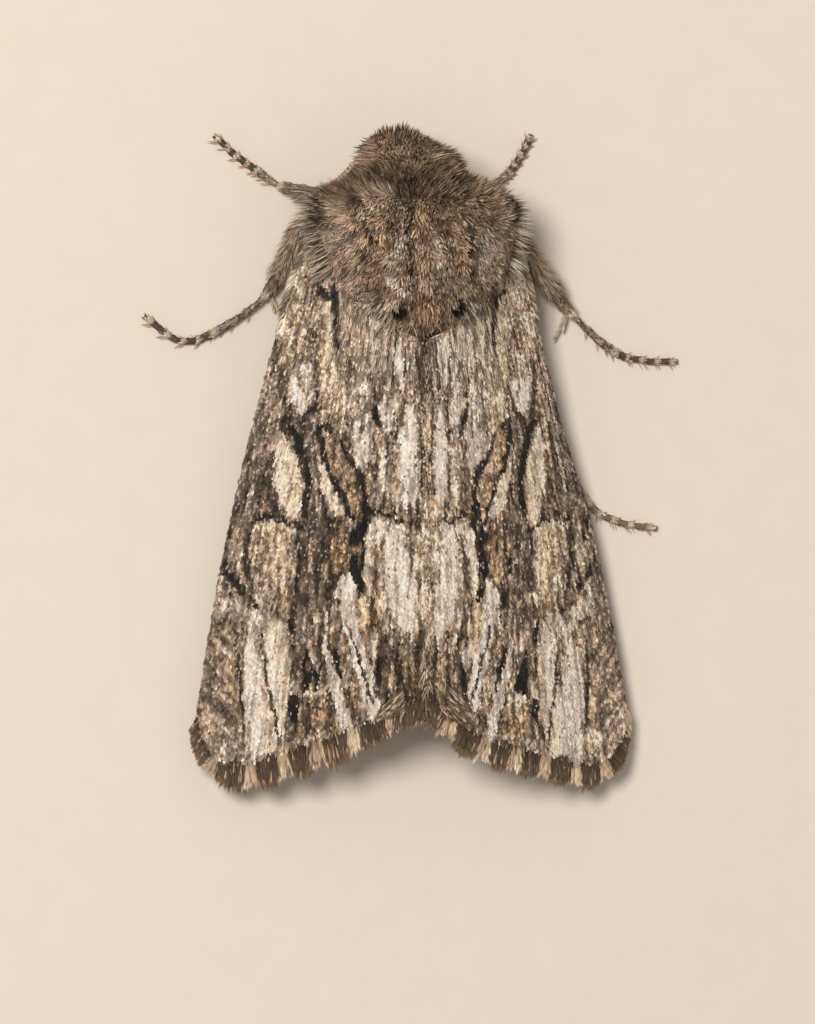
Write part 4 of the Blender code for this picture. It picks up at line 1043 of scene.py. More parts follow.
def add_upper_scales(coat, side, seed):
    """The scales on a forewing's upper side."""
    x, y = wing_grid(0.061, 0.06, WING_FRONT + 0.05, lambda share: through(WING_EDGE[side], share) + 0.02,
                     wing_inner, lambda y: costa(y) - 0.05, roof)
    count = len(x)
    x = np.maximum(x + chance.normal(0, 0.008, count), 0.03)
    y = y + chance.normal(0, 0.007, count)
    places, along, up = surface_frame(x, y, side, wing_top)
    along, up = tilted(along, up, chance.normal(0.22, 0.07, count), chance.normal(0, 0.22, count))
    length = chance.normal(0.13, 0.01, count)
    longer = chance.random(count) < 0.04
    length[longer] *= 1.4
    width = chance.normal(0.074, 0.006, count) * np.where(longer, 0.8, 1)
    seen_x, seen_y = x + chance.normal(0, 0.012, count), y + 0.07 + chance.normal(0, 0.02, count)
    tint = vary(wing_ground(np.abs(seen_x), seen_y, seed, side), 0.13, dark=0.008, light=0.03)
    coat.add(SHIELD, places, along, up, length, width, tint, (0.75, 1.1), wing_chart(x, y), curl=-0.06)


def add_fringe(coat, side, seed):
    """Forked scales in chequered tufts along the hind edge."""
    for count, length, width, lift, shade in FRINGE_LAYERS:
        share = (np.arange(count) + chance.random(count)) / count
        x, y = edge_point(share, side)
        ahead = edge_point(np.minimum(share + 0.01, 1.0), side)
        behind = edge_point(np.maximum(share - 0.01, 0.0), side)
        outward = unit(rows(behind[1] - ahead[1], ahead[0] - behind[0]))
        lean = (x / costa(y)) * 0.1 + 0.75 * ease(-x, -1.5, -0.7)
        tip = ease(share, 0.84, 0.97)[:, None]
        run = unit(outward * (0.85 - 0.65 * tip) + rows(lean, 1.0) * 0.35)
        tuft = fringe_place(x, side)
        gather = -0.12 * np.clip(tuft, -1, 1) + 0.14 * (patches(x, y, 0.16, seed + 11) - 0.5)
        run = run + jitter(count, 0.06, 0.05) + rows(gather, 0.0)
        z = wing_top(x, y - 0.05) + lift - 0.04 + chance.normal(0, 0.012, count)
        along = unit(rows(side * run[:, 0], run[:, 1], -0.09))
        up = unit(np.array((0.0, 0.05, 1.0)) + jitter(count, 0.2, 0.1, 0.1))
        grown = length * (1 + (0.2 if side > 0 else 0.06) * ease(x, 1.6, 2.8))
        grown = grown * (1 - 0.5 * ease(share, 0.76, 0.95))
        grown = grown * (1.04 - 0.1 * np.clip(np.abs(tuft), 0, 1.2) ** 2)
        tint = vary(fringe_tint(x, y, seed, side), 0.18, dark=0.06) * shade
        tint[chance.random(count) < 0.06] = TAN * 0.9
        ends = mix(tint, OCHRE, 0.25 if length > 0.7 else 0.1)
        coat.add(FORK, rows(side * x, y - 0.07, z), along, up, grown * chance.normal(1, 0.09, count),
                 width * chance.normal(1, 0.12, count), tint, (0.7, ends), wing_chart(x, y + 0.3), curl=-0.05)


def add_corner_tuft(coat, side):
    """The first tuft of the fringe, which covers the hind corner."""
    x, y = chance.uniform(0.03, 1.12, 1600), chance.uniform(6.5, 7.5, 1600)
    start = 6.6 + np.where(x < 0.65, (0.65 - x) * 1.5, (x - 0.65) * 0.95)
    keep = (y > start) & (y < through(WING_EDGE[side], x / WING_WIDTH))
    x, y = x[keep], y[keep]
    count = len(x)
    places, along, up = surface_frame(x, y, side, wing_top)
    along = unit(along * 0.75 + rows(side * chance.normal(0.66, 0.08, count), 0.0, 0.0))
    along, up = tilted(along, up, chance.normal(0.12, 0.05, count), chance.normal(0, 0.3, count))
    tint = vary(UMBER * 1.6, 0.3, dark=0.1, number=count)
    border = ease(-np.abs(y - 6.7 - np.abs(x - 0.65) * 1.3), -0.12, 0)
    tint[chance.random(count) < 0.14 + 0.5 * border] = TAN
    coat.add(FORK, places, along, up, chance.normal(0.5, 0.06, count), 0.05, tint, (0.7, 1.1),
             wing_chart(x, y), curl=-0.1)


def add_edge_scales(coat, side, seed):
    """Scales over the leading edge, longer toward the wing's root."""
    count = 1500
    y = np.sort(chance.uniform(WING_FRONT + 0.1, 8.0, count))
    x = costa(y) - chance.uniform(0.03, 0.1, count)
    root = ease(-y, 3.6, 5.4)
    places, along, up = surface_frame(x, y, side, wing_top)
    places[:, 2] -= chance.uniform(0.0, WING_SHEET, count)
    along = unit(along + rows(side * chance.uniform(0.05, 0.4, count) + side * 0.5 * root, 0.0,
                              chance.uniform(-0.25, 0.02, count)))
    up = unit(up + np.array((side * 1.0, 0.0, 0.0)))
    tint = vary(wing_ground(x, y + 0.1, seed, side), 0.25, dark=0.05, light=0.05) * 0.95
    length = chance.normal(0.19, 0.02, count) * (1 + 1.4 * root)
    coat.add(LEAF, places, along, up, length, 0.075 - 0.03 * root, tint, (0.75, 1.1), wing_chart(x + 0.2, y),
             curl=-0.05)


def add_ridge_hairs(coat, side, seed):
    """Hair-like scales beside the ridge, toward the hind corner."""
    y = 7.0 - 2.3 * chance.random(900) ** 1.3
    x = np.abs(chance.normal(0, 0.3, 900)) * (0.3 + 0.7 * ease(y, 5.0, 6.4)) + 0.03
    keep = y < through(WING_EDGE[side], np.clip(x / WING_WIDTH, 0, 1)) + 0.1
    x, y = x[keep], y[keep]
    count = len(x)
    places, along, up = surface_frame(x, y, side, wing_top)
    inward = 0.25 + 0.5 * (patches(x, y, 0.2, seed + 14) - 0.5) + chance.normal(0, 0.06, count)
    along = unit(along + rows(-side * inward, 0.0, chance.uniform(0.0, 0.1, count)))
    pick = (0.3 * chance.random(count) + 0.9 * patches(x, y, (0.1, 0.5), seed + 12))[:, None]
    tint = np.where(pick < 0.74, UMBER * 0.6, np.where(pick < 0.86, OCHRE * 0.8, TAN))
    coat.add(HAIR, places, along, up, chance.normal(0.62, 0.1, count), 0.05, tint, (0.7, 1.15),
             wing_chart(x, y), curl=-0.08)


def add_root_hairs(coat, side, seed):
    """Hair-like scales where the wing leaves the thorax."""
    count = 2600
    y = -5.6 + 3.0 * chance.random(count) ** 1.3
    x = wing_inner(y) + 0.05 + chance.random(count) ** 1.3 * (2.5 - wing_inner(y))
    places, along, up = surface_frame(x, y, side, wing_top)
    along = unit(along + jitter(count, 0.06, 0.02, 0.02))
    along, up = tilted(along, up, chance.normal(0.1, 0.05, count), chance.normal(0, 0.3, count))
    tint = vary(wing_ground(x, y + 0.25, seed, side) * 0.9, 0.2, dark=0.12, light=0.03)
    coat.add(HAIR, places, along, up, chance.normal(0.42, 0.08, count), 0.036, tint, (0.7, 1.05),
             wing_chart(x, y), curl=-0.05)


def add_ridge_scales(coat, side, seed):
    """Scales that close the gap between the two wings along the ridge."""
    count = 1100
    y = chance.uniform(-3.6, 6.4, count)
    x = chance.uniform(0.0, 0.1, count)
    places, along, up = surface_frame(x, y, side, wing_top)
    along = unit(along + rows(-side * chance.uniform(0.0, 0.35, count), 0.0,
                              chance.uniform(0.0, 0.15, count)))
    tint = vary(wing_ground(x + 0.03, y, seed, side), 0.3, dark=0.15, light=0.08)
    coat.add(LEAF, places, along, up, chance.normal(0.26, 0.03, count), 0.07, tint, (0.8, 1),
             wing_chart(x, y))


def add_lining(coat, side, seed):
    """Broad scales on a forewing's underside."""
    x, y = wing_grid(0.15, 0.13, WING_FRONT + 0.1, lambda share: through(WING_EDGE[side], share), wing_inner,
                     lambda y: costa(y) - 0.04, roof)
    count = len(x)
    places, along, up = surface_frame(x, y, side, wing_top)
    places[:, 2] -= WING_SHEET * 0.9
    along, down = tilted(along, -up, chance.normal(0.16, 0.06, count), chance.normal(0, 0.2, count))
    tint = vary(under_ground(x, y, seed + 5), 0.16, light=0.05)
    coat.add(SHIELD, places, along, down, chance.normal(0.3, 0.02, count), 0.2, tint, (0.8, 1),
             wing_chart(x, y), curl=-0.05, thick=0.12)


def add_forewing(word, side, seed):
    name = f"forewing_{word}_skin"
    data, places, below = lay_sheet(name, side, 64, 130, forewing_outline, wing_top, WING_SHEET)
    x, y = np.abs(places[:, 0]), places[:, 1]
    # the membrane's colour is darkened to 0.85 as painted shade where it shows between the scales
    upper = wing_ground(x, y, seed, side) * 0.85
    tint_points(data, np.where(below[:, None], under_ground(x, y, seed + 5), upper))
    add_piece(name, data, wing_skin_finish, [f"forewing_{word}"])
    coat = Coat()
    add_upper_scales(coat, side, seed)
    coat.build(f"forewing_{word}_scales", wing_scale_finish, "forewing_scales")
    coat = Coat()
    add_fringe(coat, side, seed)
    add_corner_tuft(coat, side)
    for add in (add_edge_scales, add_ridge_hairs, add_root_hairs, add_ridge_scales, add_lining):
        add(coat, side, seed)
    coat.build(f"forewing_{word}_fringe_and_lining", wing_scale_finish, "forewing_scales")


def add_hindwing(word, side, seed):
    """The folded hindwing: a pale sheet, scales on both sides and its fringe."""
    name = f"hindwing_{word}_skin"
    data, places, _ = lay_sheet(name, side, 30, 60, hindwing_outline, hindwing_top, HINDWING_SHEET)
    tint_points(data, under_ground(np.abs(places[:, 0]), places[:, 1], seed + 9) * 1.1)
    add_piece(name, data, wing_skin_finish, [f"hindwing_{word}"])
    coat = Coat()
    x, y = wing_grid(0.17, 0.15, HINDWING_FRONT + 0.1, lambda share: hindwing_edge(share)[1],
                     lambda y: HINDWING_INNER, lambda y: costa(y) - HINDWING_INSET, hindwing_top)
    count = len(x)
    for facing, drop in ((-1, 0.11), (1, 0.0)):
        places, along, up = surface_frame(x, y, side, hindwing_top)
        places[:, 2] -= drop
        along, out = tilted(along, facing * up, chance.normal(0.13, 0.05, count),
                            chance.normal(0, 0.2, count))
        tint = vary(under_ground(x, y, seed + 9) * 1.1, 0.14, light=0.04)
        coat.add(SHIELD, places, along, out, chance.normal(0.33, 0.02, count), 0.22, tint, (0.8, 1),
                 wing_chart(x, y), curl=-0.05, thick=0.12)
    for count, length, width in ((500, 0.35, 0.07), (800, 0.62, 0.05)):
        share = (np.arange(count) + chance.random(count)) / count
        x, y = hindwing_edge(share)
        z = hindwing_top(x, y) - 0.05 + chance.normal(0, 0.015, count)
        along = unit(rows(side * (0.25 * share - 0.05), 1.0, -0.08) + jitter(count, 0.08, 0.03, 0.05))
        up = unit(UP + jitter(count, 0.2, 0.1, 0.1))
        tint = vary(HINDWING_FRINGE, 0.2, dark=0.05, number=count)
        coat.add(FORK, rows(side * x, y - 0.06, z), along, up, length * chance.normal(1, 0.07, count),
                 width, tint, (0.7, 1.1), wing_chart(x, y + 0.3))
    coat.build(f"hindwing_{word}_scales", wing_scale_finish, "hindwing_scales")


# ------------------------ the body's skin
def add_form(bm, stations, bluntness, depth):
    """A rounded form along Y, inside its stations by a depth."""
    made = bmesh.ops.create_uvsphere(bm, u_segments=48, v_segments=36, radius=1.0)["verts"]
    ball = np.array([vert.co for vert in made])
    out = np.hypot(ball[:, 0], ball[:, 1])
    side, height = ball[:, 0] / np.maximum(out, 1e-6), ball[:, 1] / np.maximum(out, 1e-6)
    close = closing(np.clip(ball[:, 2], -1, 1), bluntness) * (out > 1e-5)
    front, back = stations[0][0] + depth, stations[-1][0] - depth
    y = front + (back - front) * (1 + np.clip(ball[:, 2], -1, 1)) / 2
    half, top, widest, bottom = through(stations, y).T
    reach = np.where(height > 0, top - depth - widest, widest - bottom - depth)
    grown = rows(bend(y) + side * (half - depth) * close, y, widest + height * reach * close)
    for vert, place in zip(made, grown):
        vert.co = place


def add_limb(bm, points, radii):
    """A row of balls joined by cones."""
    for place, radius in zip(points, radii):
        bmesh.ops.create_icosphere(bm, subdivisions=2, radius=radius, matrix=Matrix.Translation(place))
    for a, b, ra, rb in zip(points, points[1:], radii, radii[1:]):
        a, b = Vector(a), Vector(b)
        turn = (b - a).to_track_quat("Z", "Y").to_matrix().to_4x4()
        bmesh.ops.create_cone(bm, cap_ends=True, segments=14, radius1=ra, radius2=rb, depth=(b - a).length,
                              matrix=Matrix.Translation((a + b) / 2) @ turn)


def beside(side, x, y, z):
    """A point to one side of the body's middle, which bends toward the head."""
    return float(bend(y)) + side * x, y, z


def body_skin_mesh():
    """Head, palps, thorax, abdomen and legs as one closed skin, in millimetres."""
    bm = bmesh.new()
    add_form(bm, HEAD, HEAD_BLUNTNESS, HEAD_DEPTH)
    add_form(bm, THORAX, THORAX_BLUNTNESS, THORAX_DEPTH)
    add_form(bm, ABDOMEN, ABDOMEN_BLUNTNESS, ABDOMEN_DEPTH)
    add_limb(bm, [(0.45, -9.15, 2.85), (0.38, -8.8, 2.95), (0.28, -8.4, 3.0)], [0.8, 1.12, 1.4])  # neck
    add_limb(bm, [(0.0, -4.6, 2.6), (0.0, -2.8, 2.1)], [0.95, 0.75])  # waist
    for side in (1, -1):
        add_limb(bm, [beside(side, *place) for *place, _ in PALP],
                 [radius - PALP_DEPTH for *_, radius in PALP])
        add_limb(bm, [beside(side, 0.4, -9.35, 1.32), beside(side, 0.35, -9.2, 2.1)], [0.14, 0.2])
    for name, (shin, hip, *_) in LEGS.items():
        stages, line = LEG_LINES[name]
        add_limb(bm, [tuple(point) for point in line[::3]], list(leg_radius(stages, shin)[::3]))
        add_limb(bm, [hip, (hip[0] * 0.6, hip[1], 2.1)], [0.26, 0.5])
    rough = bpy.data.meshes.new("flesh")
    bm.to_mesh(rough)
    bm.free()
    bm = shape_of(rough, "flesh", FLESH_VOXEL)
    for _ in range(2):
        bmesh.ops.smooth_vert(bm, verts=bm.verts, factor=0.4, use_axis_x=True, use_axis_y=True,
                              use_axis_z=True)
    return bm


LEG_NAMES = list(LEGS)
FLESH_NODES = ["head", "thorax", "abdomen", "palp_left", "palp_right", *LEG_NAMES]


def legs_at(points):
    """For each point: the nearest leg's number, the stage, direction and axis there, and if it is on it."""
    best = np.full(len(points), 1e9)
    leg, stage = np.zeros(len(points), int), np.zeros(len(points))
    run, axis = np.zeros((len(points), 3)), np.zeros((len(points), 3))
    for number, name in enumerate(LEG_NAMES):
        stages, line = LEG_LINES[name]
        away = np.linalg.norm(points[:, None] - line[None], axis=2)
        index = away.argmin(1)
        away = away[np.arange(len(points)), index]
        nearer = away < best
        best[nearer], leg[nearer], stage[nearer] = away[nearer], number, stages[index][nearer]
        run[nearer], axis[nearer] = tangents_of(line)[index][nearer], line[index][nearer]
    on_leg = (best < 0.42) & (stage > 0.12) & ((points[:, 2] < 1.62) | (stage > 0.9))
    return leg, stage, run, axis, on_leg


def around_of(points, axis):
    """Each point's angle round its leg's axis."""
    return np.arctan2(points[:, 2] - axis[:, 2], points[:, 0] - axis[:, 0])


def add_body():
    """The body's skin. Returns the roots that its coat grows from."""
    data = mesh_from(body_skin_mesh(), "body_skin")
    points = places_of(data)
    leg, stage, _, axis, on_leg = legs_at(points)
    around = around_of(points, axis)
    colour = body_ground(*points.T)
    for number, name in enumerate(LEG_NAMES):
        mine = (leg == number) & on_leg
        colour[mine] = leg_tint(name, stage[mine], around[mine], LEG_SEED + number)
    # the skin's colour is darkened to 0.75 as painted shade where it shows between the hairs
    tint_points(data, colour * 0.75)
    points = np.concatenate([points, read(data.polygons, "center") / MM])
    normals = unit(np.concatenate([read(data.vertex_normals, "vector").astype(float),
                                   read(data.polygons, "normal")]))
    add_piece("body_skin", data, body_skin_finish, FLESH_NODES)
    print("body_skin", len(data.polygons), "faces")
    leg, stage, run, axis, on_leg = legs_at(points)
    points = points + jitter(len(points), 0.014, 0.014, 0.014)
    x, y, z = points.T
    return SimpleNamespace(points=points, normals=normals, x=x, y=y, z=z, off=x - bend(y), leg=leg,
                           stage=stage, run=run, around=around_of(points, axis), on_leg=on_leg, axis=axis)


# ------------------------ the body's coat
def some(skin, mask, share):
    """A random share of the roots where the mask is true."""
    pick = mask & (chance.random(len(mask)) < share)
    return SimpleNamespace(**{name: values[pick] for name, values in vars(skin).items()})


def body_chart(skin):
    """A place on the coat's map: the body's skin rolled out round its middle."""
    turn = np.arctan2(skin.off, skin.z - 2.6) / (2 * math.pi) + 0.5
    return rows(0.02 + 0.96 * turn, 0.02 + 0.96 * (skin.y + 10.4) / 17.6)


def leg_chart(leg, stage, around):
    """A place on the coat's map: each leg is a strip, unrolled."""
    return rows(0.02 + 0.96 * stage / 4, 0.03 + leg * 0.16 + 0.14 * (around / (2 * math.pi) + 0.5))


def level(vectors, normals):
    """The part of each vector that lies in the surface."""
    return vectors - normals * (vectors * normals).sum(1)[:, None]


def grow(coat, shape, skin, run, raised, length, width, tint, ends, chart, curl=-0.1, sway=0.12):
    """Hair-scales on a skin: run is the way they lie, raised the angle at which they leave the skin."""
    count = len(skin.x)
    flat = unit(level(run, skin.normals) + jitter(count, sway, sway, sway))
    flat = unit(level(flat, skin.normals))
    along, up = tilted(flat, skin.normals, raised + chance.normal(0, 0.09, count),
                       chance.normal(0, 0.3, count))
    coat.add(shape, skin.points - skin.normals * 0.02, along, up, length * chance.normal(1, 0.13, count),
             width * chance.normal(1, 0.12, count), tint, ends, chart, curl=curl)


def stand(coat, skin, along, roll, length, spread, width, tint, ends, curl, longer=1.0):
    """Hairs that leave the body along their own directions."""
    count = len(skin.x)
    coat.add(HAIR, skin.points, along, skin.normals + jitter(count, roll, roll, roll),
             chance.normal(length, spread, count) * longer, width, tint, ends, body_chart(skin), curl=curl)


def ruffle(skin, seed, size=0.3):
    """Leanings that neighbouring hairs share, so that they stand in small tufts."""
    x, y, z = skin.x, skin.y, skin.z
    return rows(patches(x + 0.5 * z, y, size, seed), patches(x, y + 0.5 * z, size, seed + 1),
                patches(y, z + 0.5 * x, size, seed + 2)) - 0.5


def clumped(skin):
    """Lighter and darker tufts."""
    x, y, z = skin.x, skin.y, skin.z
    small = patches(x + 0.4 * z, y, 0.12, 84) + 0.5 * patches(x + 0.3 * z, y, 0.06, 85) - 0.75
    large = patches(x, y + 0.4 * z, (0.2, 0.4), 86) - 0.5
    return np.exp(1.7 * small + 1.2 * large - 0.2)[:, None]


def fur_tint(skin, ahead, wander=0.04):
    """The body's colours where the hairs' tips lie, in tufts; the wings' own colours over their roots."""
    count = len(skin.x)
    x, y = skin.x + chance.normal(0, wander, count), skin.y + ahead + chance.normal(0, wander, count)
    colour = body_ground(x, y, skin.z)
    wing = ease(y, -5.4, -4.5) * ease(np.abs(x), 0.75, 1.35)
    for _, side, seed in SIDES:
        mine = (wing > 0) & (side * x > 0)
        ground = wing_ground(np.abs(x[mine]), y[mine] + 0.3, seed, side)
        colour[mine] = mix(colour[mine], 0.85 * ground, wing[mine])
    return colour * clumped(skin)


def thorax_run(skin):
    """The way the hair of the thorax lies: back, and outward at the shoulders."""
    shoulder = ease(np.abs(skin.off), 1.7, 2.8) * ease(-skin.y, 6.2, 7.6)
    return rows(0.2 * skin.off + 0.75 * np.sign(skin.off) * shoulder, 1.0 - 0.45 * shoulder,
                -0.35 * ease(3.7 - skin.z, 0, 1.2))


def add_thorax_coat(skin, thorax):
    """Short hair-scales all over the thorax, and woolly ones under it."""
    coat = Coat()
    p = some(skin, thorax & (skin.z > 2.2), 1.0)
    collar = ease(-p.y, 7.9, 8.3) * ease(p.z, 3.0, 3.4)
    run = mix(thorax_run(p) + 1.5 * ruffle(p, 86), rows(0.8 * p.off, -0.1, 0.5), collar)
    rear = ease(p.y, -5.2, -4.3)
    sides = ease(np.abs(p.off), 2.1, 2.7) * ease(p.y, -7.0, -6.0)
    raised = 0.85 - 0.45 * rear - 0.4 * sides + 0.5 * (patches(p.x, p.y, 0.2, 89) - 0.5)
    length = 0.34 + 0.2 * rear + 0.14 * sides + 0.06 * collar
    tint = vary(fur_tint(p, 0.1) * 1.15, 0.2, dark=0.06, light=0.06)
    grow(coat, LEAF, p, run, raised, length, 0.05, tint, (0.35, 1.35), body_chart(p), sway=0.24)
    p = some(skin, thorax & (skin.z <= 2.2), 0.45)
    run = rows(0.4 * p.off, 0.9, -0.3) + ruffle(p, 86)
    tint = vary(HAIR_PALE * 0.75, 0.2, dark=0.03, number=len(p.x))
    grow(coat, LEAF, p, run, 0.5, 0.42, 0.05, tint, (0.6, 1.1), body_chart(p), sway=0.3)
    coat.build("thorax_coat", fur_finish, "body_scales")


def add_shoulder_tufts(tufts, skin, thorax, side):
    """Dense tufts that end squarely in black tips."""
    p = some(skin, thorax & (side * skin.off > 1.9) & (skin.y < -7.2) & (skin.z > 2.4) & (skin.z < 4.6), 0.9)
    count = len(p.x)
    corner = np.array((float(bend(-7.9)) + side * 3.5, -7.95, 3.2))
    run = unit(corner - p.points) * 0.8 + np.array((side * 0.9, -0.1, 0.0))
    black = 0.75 * ease(3.9 - p.z, -0.4, 0.3) * ease(side * p.off, 2.2, 2.6)
    tint = vary(fur_tint(p, 0.0) * 1.2, 0.2, light=0.1)
    tip = np.where(chance.random(count)[:, None] < black[:, None], BLACK, tint * 1.3)
    along = unit(unit(run) * 0.8 + p.normals * 0.3 + jitter(count, 0.08, 0.1, 0.1))
    stand(tufts, p, along, 0.2, 0.46, 0.06, 0.04, tint, (0.5, tip), -0.06)


def add_shaggy_sides(tufts, skin, thorax, side):
    """Pale shaggy hair over the wings' roots, beside and below the shoulders."""
    beside_it = thorax & (side * skin.off > 1.8) & (skin.y < -5.9) & (skin.y > -7.9)
    p = some(skin, beside_it & (skin.z > 1.7) & (skin.z < 3.3), 0.7)
    count = len(p.x)
    tint = vary(HAIR_PALE * 0.9 * clumped(p), 0.2, dark=0.16, light=0.1)
    along = unit(unit(rows(side * 0.95, 0.35 + 0.4 * (p.y + 7.2), -0.12)) * 0.85 + p.normals * 0.25
                 + 0.5 * ruffle(p, 87) + jitter(count, 0.08, 0.12, 0.1))
    stand(tufts, p, along, 0.2, 0.78, 0.1, 0.034, tint, (0.6, 1.15), -0.1)


def add_rear_tuft(tufts, place_x, place_y):
    """An erect tuft at the back of the thorax, black with a few white hairs."""
    count = 150
    angle, reach = chance.uniform(0, 2 * math.pi, count), 0.13 * np.sqrt(chance.random(count))
    x, y = place_x + reach * np.cos(angle), place_y + 1.4 * reach * np.sin(angle)
    p = SimpleNamespace(points=rows(x, y, 4.3), off=x - bend(y), y=y, z=np.full(count, 4.3))
    along = unit(rows(np.cos(angle) * reach * 1.8, 0.5 + np.sin(angle) * reach, 0.9)
                 + jitter(count, 0.12, 0.12, 0.05))
    white = (np.hypot(x - place_x - 0.08, y - place_y + 0.12) < 0.08)[:, None]
    tint = np.where(white, WHITE, BLACK * 1.1) * chance.uniform(0.7, 1.2, (count, 1))
    tufts.add(HAIR, p.points, along, unit(jitter(count, 1, 1, 0.1)), chance.normal(0.58, 0.06, count), 0.045,
              tint, (0.7, 1.1), body_chart(p), curl=0.05)


def add_long_hairs(tufts, skin, thorax):
    """Long hairs that lie over the wings' roots, and beside the thorax."""
    p = some(skin, thorax & (skin.z > 3.1) & (skin.y > -5.3), 0.75)
    run = thorax_run(p) + 1.0 * ruffle(p, 86, 0.4) - np.array((0.0, 0.0, 0.16))
    tint = vary(fur_tint(p, 0.4, 0.1) * 1.2, 0.22, dark=0.12, light=0.05)
    middle = 0.4 * ease(p.y, -4.7, -4.3) * ease(-np.abs(p.x), -1.4, -0.9)
    length = 0.4 + middle + 1.3 * patches(p.x, p.y, 0.22, 88) ** 2
    grow(tufts, HAIR, p, run, 0.14, length, 0.036, tint, (0.55, 1.25), body_chart(p), sway=0.16)
    lateral = thorax & (skin.z > 2.9) & (np.abs(skin.off) > 1.9) & (skin.y > -7.3) & (skin.y <= -4.9)
    p = some(skin, lateral, 0.5)
    run = thorax_run(p) + 0.8 * ruffle(p, 86, 0.4) + rows(0.3 * np.sign(p.x), 0.0, 0.0)
    tint = vary(fur_tint(p, 0.3, 0.08) * 1.25, 0.25, dark=0.14, light=0.12)
    grow(tufts, HAIR, p, run, 0.3, 0.6, 0.034, tint, (0.55, 1.25), body_chart(p), sway=0.16)


def add_collar(tufts, skin, thorax):
    """The collar stands up and spreads over the neck."""
    p = some(skin, thorax & (skin.y < -7.9) & (skin.z > 2.5), 0.85)
    run = rows(0.8 * p.off, -0.45, 0.3 + 0.25 * (p.z - 3.8))
    along = unit(unit(run) * 0.8 + 0.4 * p.normals + 0.5 * ruffle(p, 86) + jitter(len(p.x), 0.12, 0.12, 0.1))
    tint = vary(fur_tint(p, 0.0) * 1.2, 0.25, dark=0.1, light=0.08)
    stand(tufts, p, along, 0.3, 0.5, 0.07, 0.036, tint, (0.4, 1.3), 0.02)


def add_thorax_tufts(skin, thorax):
    tufts = Coat()
    for add in (add_shoulder_tufts, add_shaggy_sides):
        for side in (1, -1):
            add(tufts, skin, thorax, side)
    for place in ((0.84, -4.75), (-0.92, -4.85)):
        add_rear_tuft(tufts, *place)
    add_long_hairs(tufts, skin, thorax)
    add_collar(tufts, skin, thorax)
    tufts.build("thorax_tufts", fur_finish, "body_scales")


def add_head_coat(skin, body):
    clear = np.ones(len(skin.x), bool)
    for side in (1, -1):
        clear &= np.linalg.norm(skin.points - beside(side, *EYE_PLACE), axis=1) > EYE_RADIUS + 0.03
    head = body & (skin.y <= -8.75) & clear
    palps = head & (skin.z < 2.0) & (skin.y < -9.1)
    head &= ~palps
    coat = Coat()
    # short scales all over the head
    p = some(skin, head, 1.0)
    crown, nape = ease(p.z, 2.9, 3.3), ease(p.y, -9.25, -8.9)
    upright = rows(0.7 * p.off + 0.1, 0.1, 1.0)
    back = mix(rows(0.8 * p.off, -0.6, 0.5), upright, nape)
    run = mix(rows(0.5 * p.off, -0.8, -0.25), back, crown) + 1.2 * ruffle(p, 86)
    tint = vary(fur_tint(p, 0.0) * 1.5, 0.22, dark=0.1, light=0.08)
    grow(coat, LEAF, p, run, 0.4 + 0.45 * crown, 0.27, 0.044, tint, (0.4, 1.35), body_chart(p), sway=0.24)
    # a spiky tuft over the brow
    p = some(skin, head & (skin.z > 2.75) & (skin.y < -9.0), 0.6)
    count = len(p.x)
    front, wide = ease(-p.y, 9.2, 9.7), ease(np.abs(p.off), 0.5, 1.1)
    lie = rows(0.7 * p.off, -0.85 * front * (1 - 0.5 * wide) + 0.1, 0.5 + 0.3 * (1 - front) - 0.35 * wide)
    along = unit(lie + 0.4 * p.normals + 0.5 * ruffle(p, 87) + jitter(count, 0.12, 0.1, 0.12))
    tint = vary(BROW_BROWN, 0.25, dark=0.1, light=0.12, number=count)
    kind = chance.random(count)[:, None]
    tip = np.where(kind < 0.35, BLACK * 1.5, np.where(kind < 0.6, TAN, tint * 1.3))
    middle = ease(-np.abs(p.off), -0.8, -0.25)
    stand(coat, p, along, 0.3, 0.34, 0.06, 0.036, tint, (0.5, tip), 0.04, longer=0.62 + 0.5 * front * middle)
    # hair from the sides of the crown covers the eyes from above
    p = some(skin, head & (skin.z > 2.85) & (np.abs(skin.off) > 0.55) & (skin.y < -8.95), 0.8)
    count = len(p.x)
    along = unit(rows(np.sign(p.off) * 0.95, -0.1 + 0.2 * (p.y + 9.3), 0.05) + 0.5 * ruffle(p, 87)
                 + jitter(count, 0.1, 0.16, 0.1))
    tint = vary(fur_tint(p, 0.0) * 1.6, 0.22, dark=0.1, light=0.12)
    stand(coat, p, along, 0.3, 1, 0.14, 0.038, tint, (0.45, 1.35), -0.08,
          longer=0.3 + 0.28 * ease(p.y, -9.8, -9.2))
    # shaggy palps
    p = some(skin, palps, 1.0)
    tint = vary(PALP_BROWN, 0.25, dark=0.12, light=0.12, number=len(p.x))
    grow(coat, LEAF, p, np.array((0.0, -0.85, 0.45)), 0.45, 0.24, 0.04, tint, (0.5, 1.3), body_chart(p),
         sway=0.2)
    coat.build("head_coat", fur_finish, "body_scales")


def add_abdomen_coat(skin, body):
    coat = Coat()
    p = some(skin, body & (skin.y >= -3.3), 0.36)
    tail = ease(p.y, 4.8, 6.0)
    tint = vary(body_ground(p.x, p.y + 0.15, p.z), 0.2, dark=0.04, light=0.05)
    grow(coat, LEAF, p, rows(0.1 * p.x, 1.0, -0.05), 0.28 + 0.1 * tail, 0.36 + 0.25 * tail, 0.085, tint,
         (0.65, 1.15), body_chart(p), sway=0.1)
    coat.build("abdomen_coat", fur_finish, "body_scales")


def outward_of(skin):
    """How much the roots on a leg face its outer and hind side."""
    return skin.normals[:, 1] * 0.8 + skin.normals[:, 0] * np.sign(skin.axis[:, 0]) * 0.45 + 0.25


def leg_shades(skin, name, number, ahead, spread, dark, light):
    """Shades of a leg's colours where the hairs' tips lie."""
    tint = leg_tint(name, np.clip(skin.stage + ahead, 0, 4), skin.around, LEG_SEED + number)
    return vary(tint, spread, dark, light)


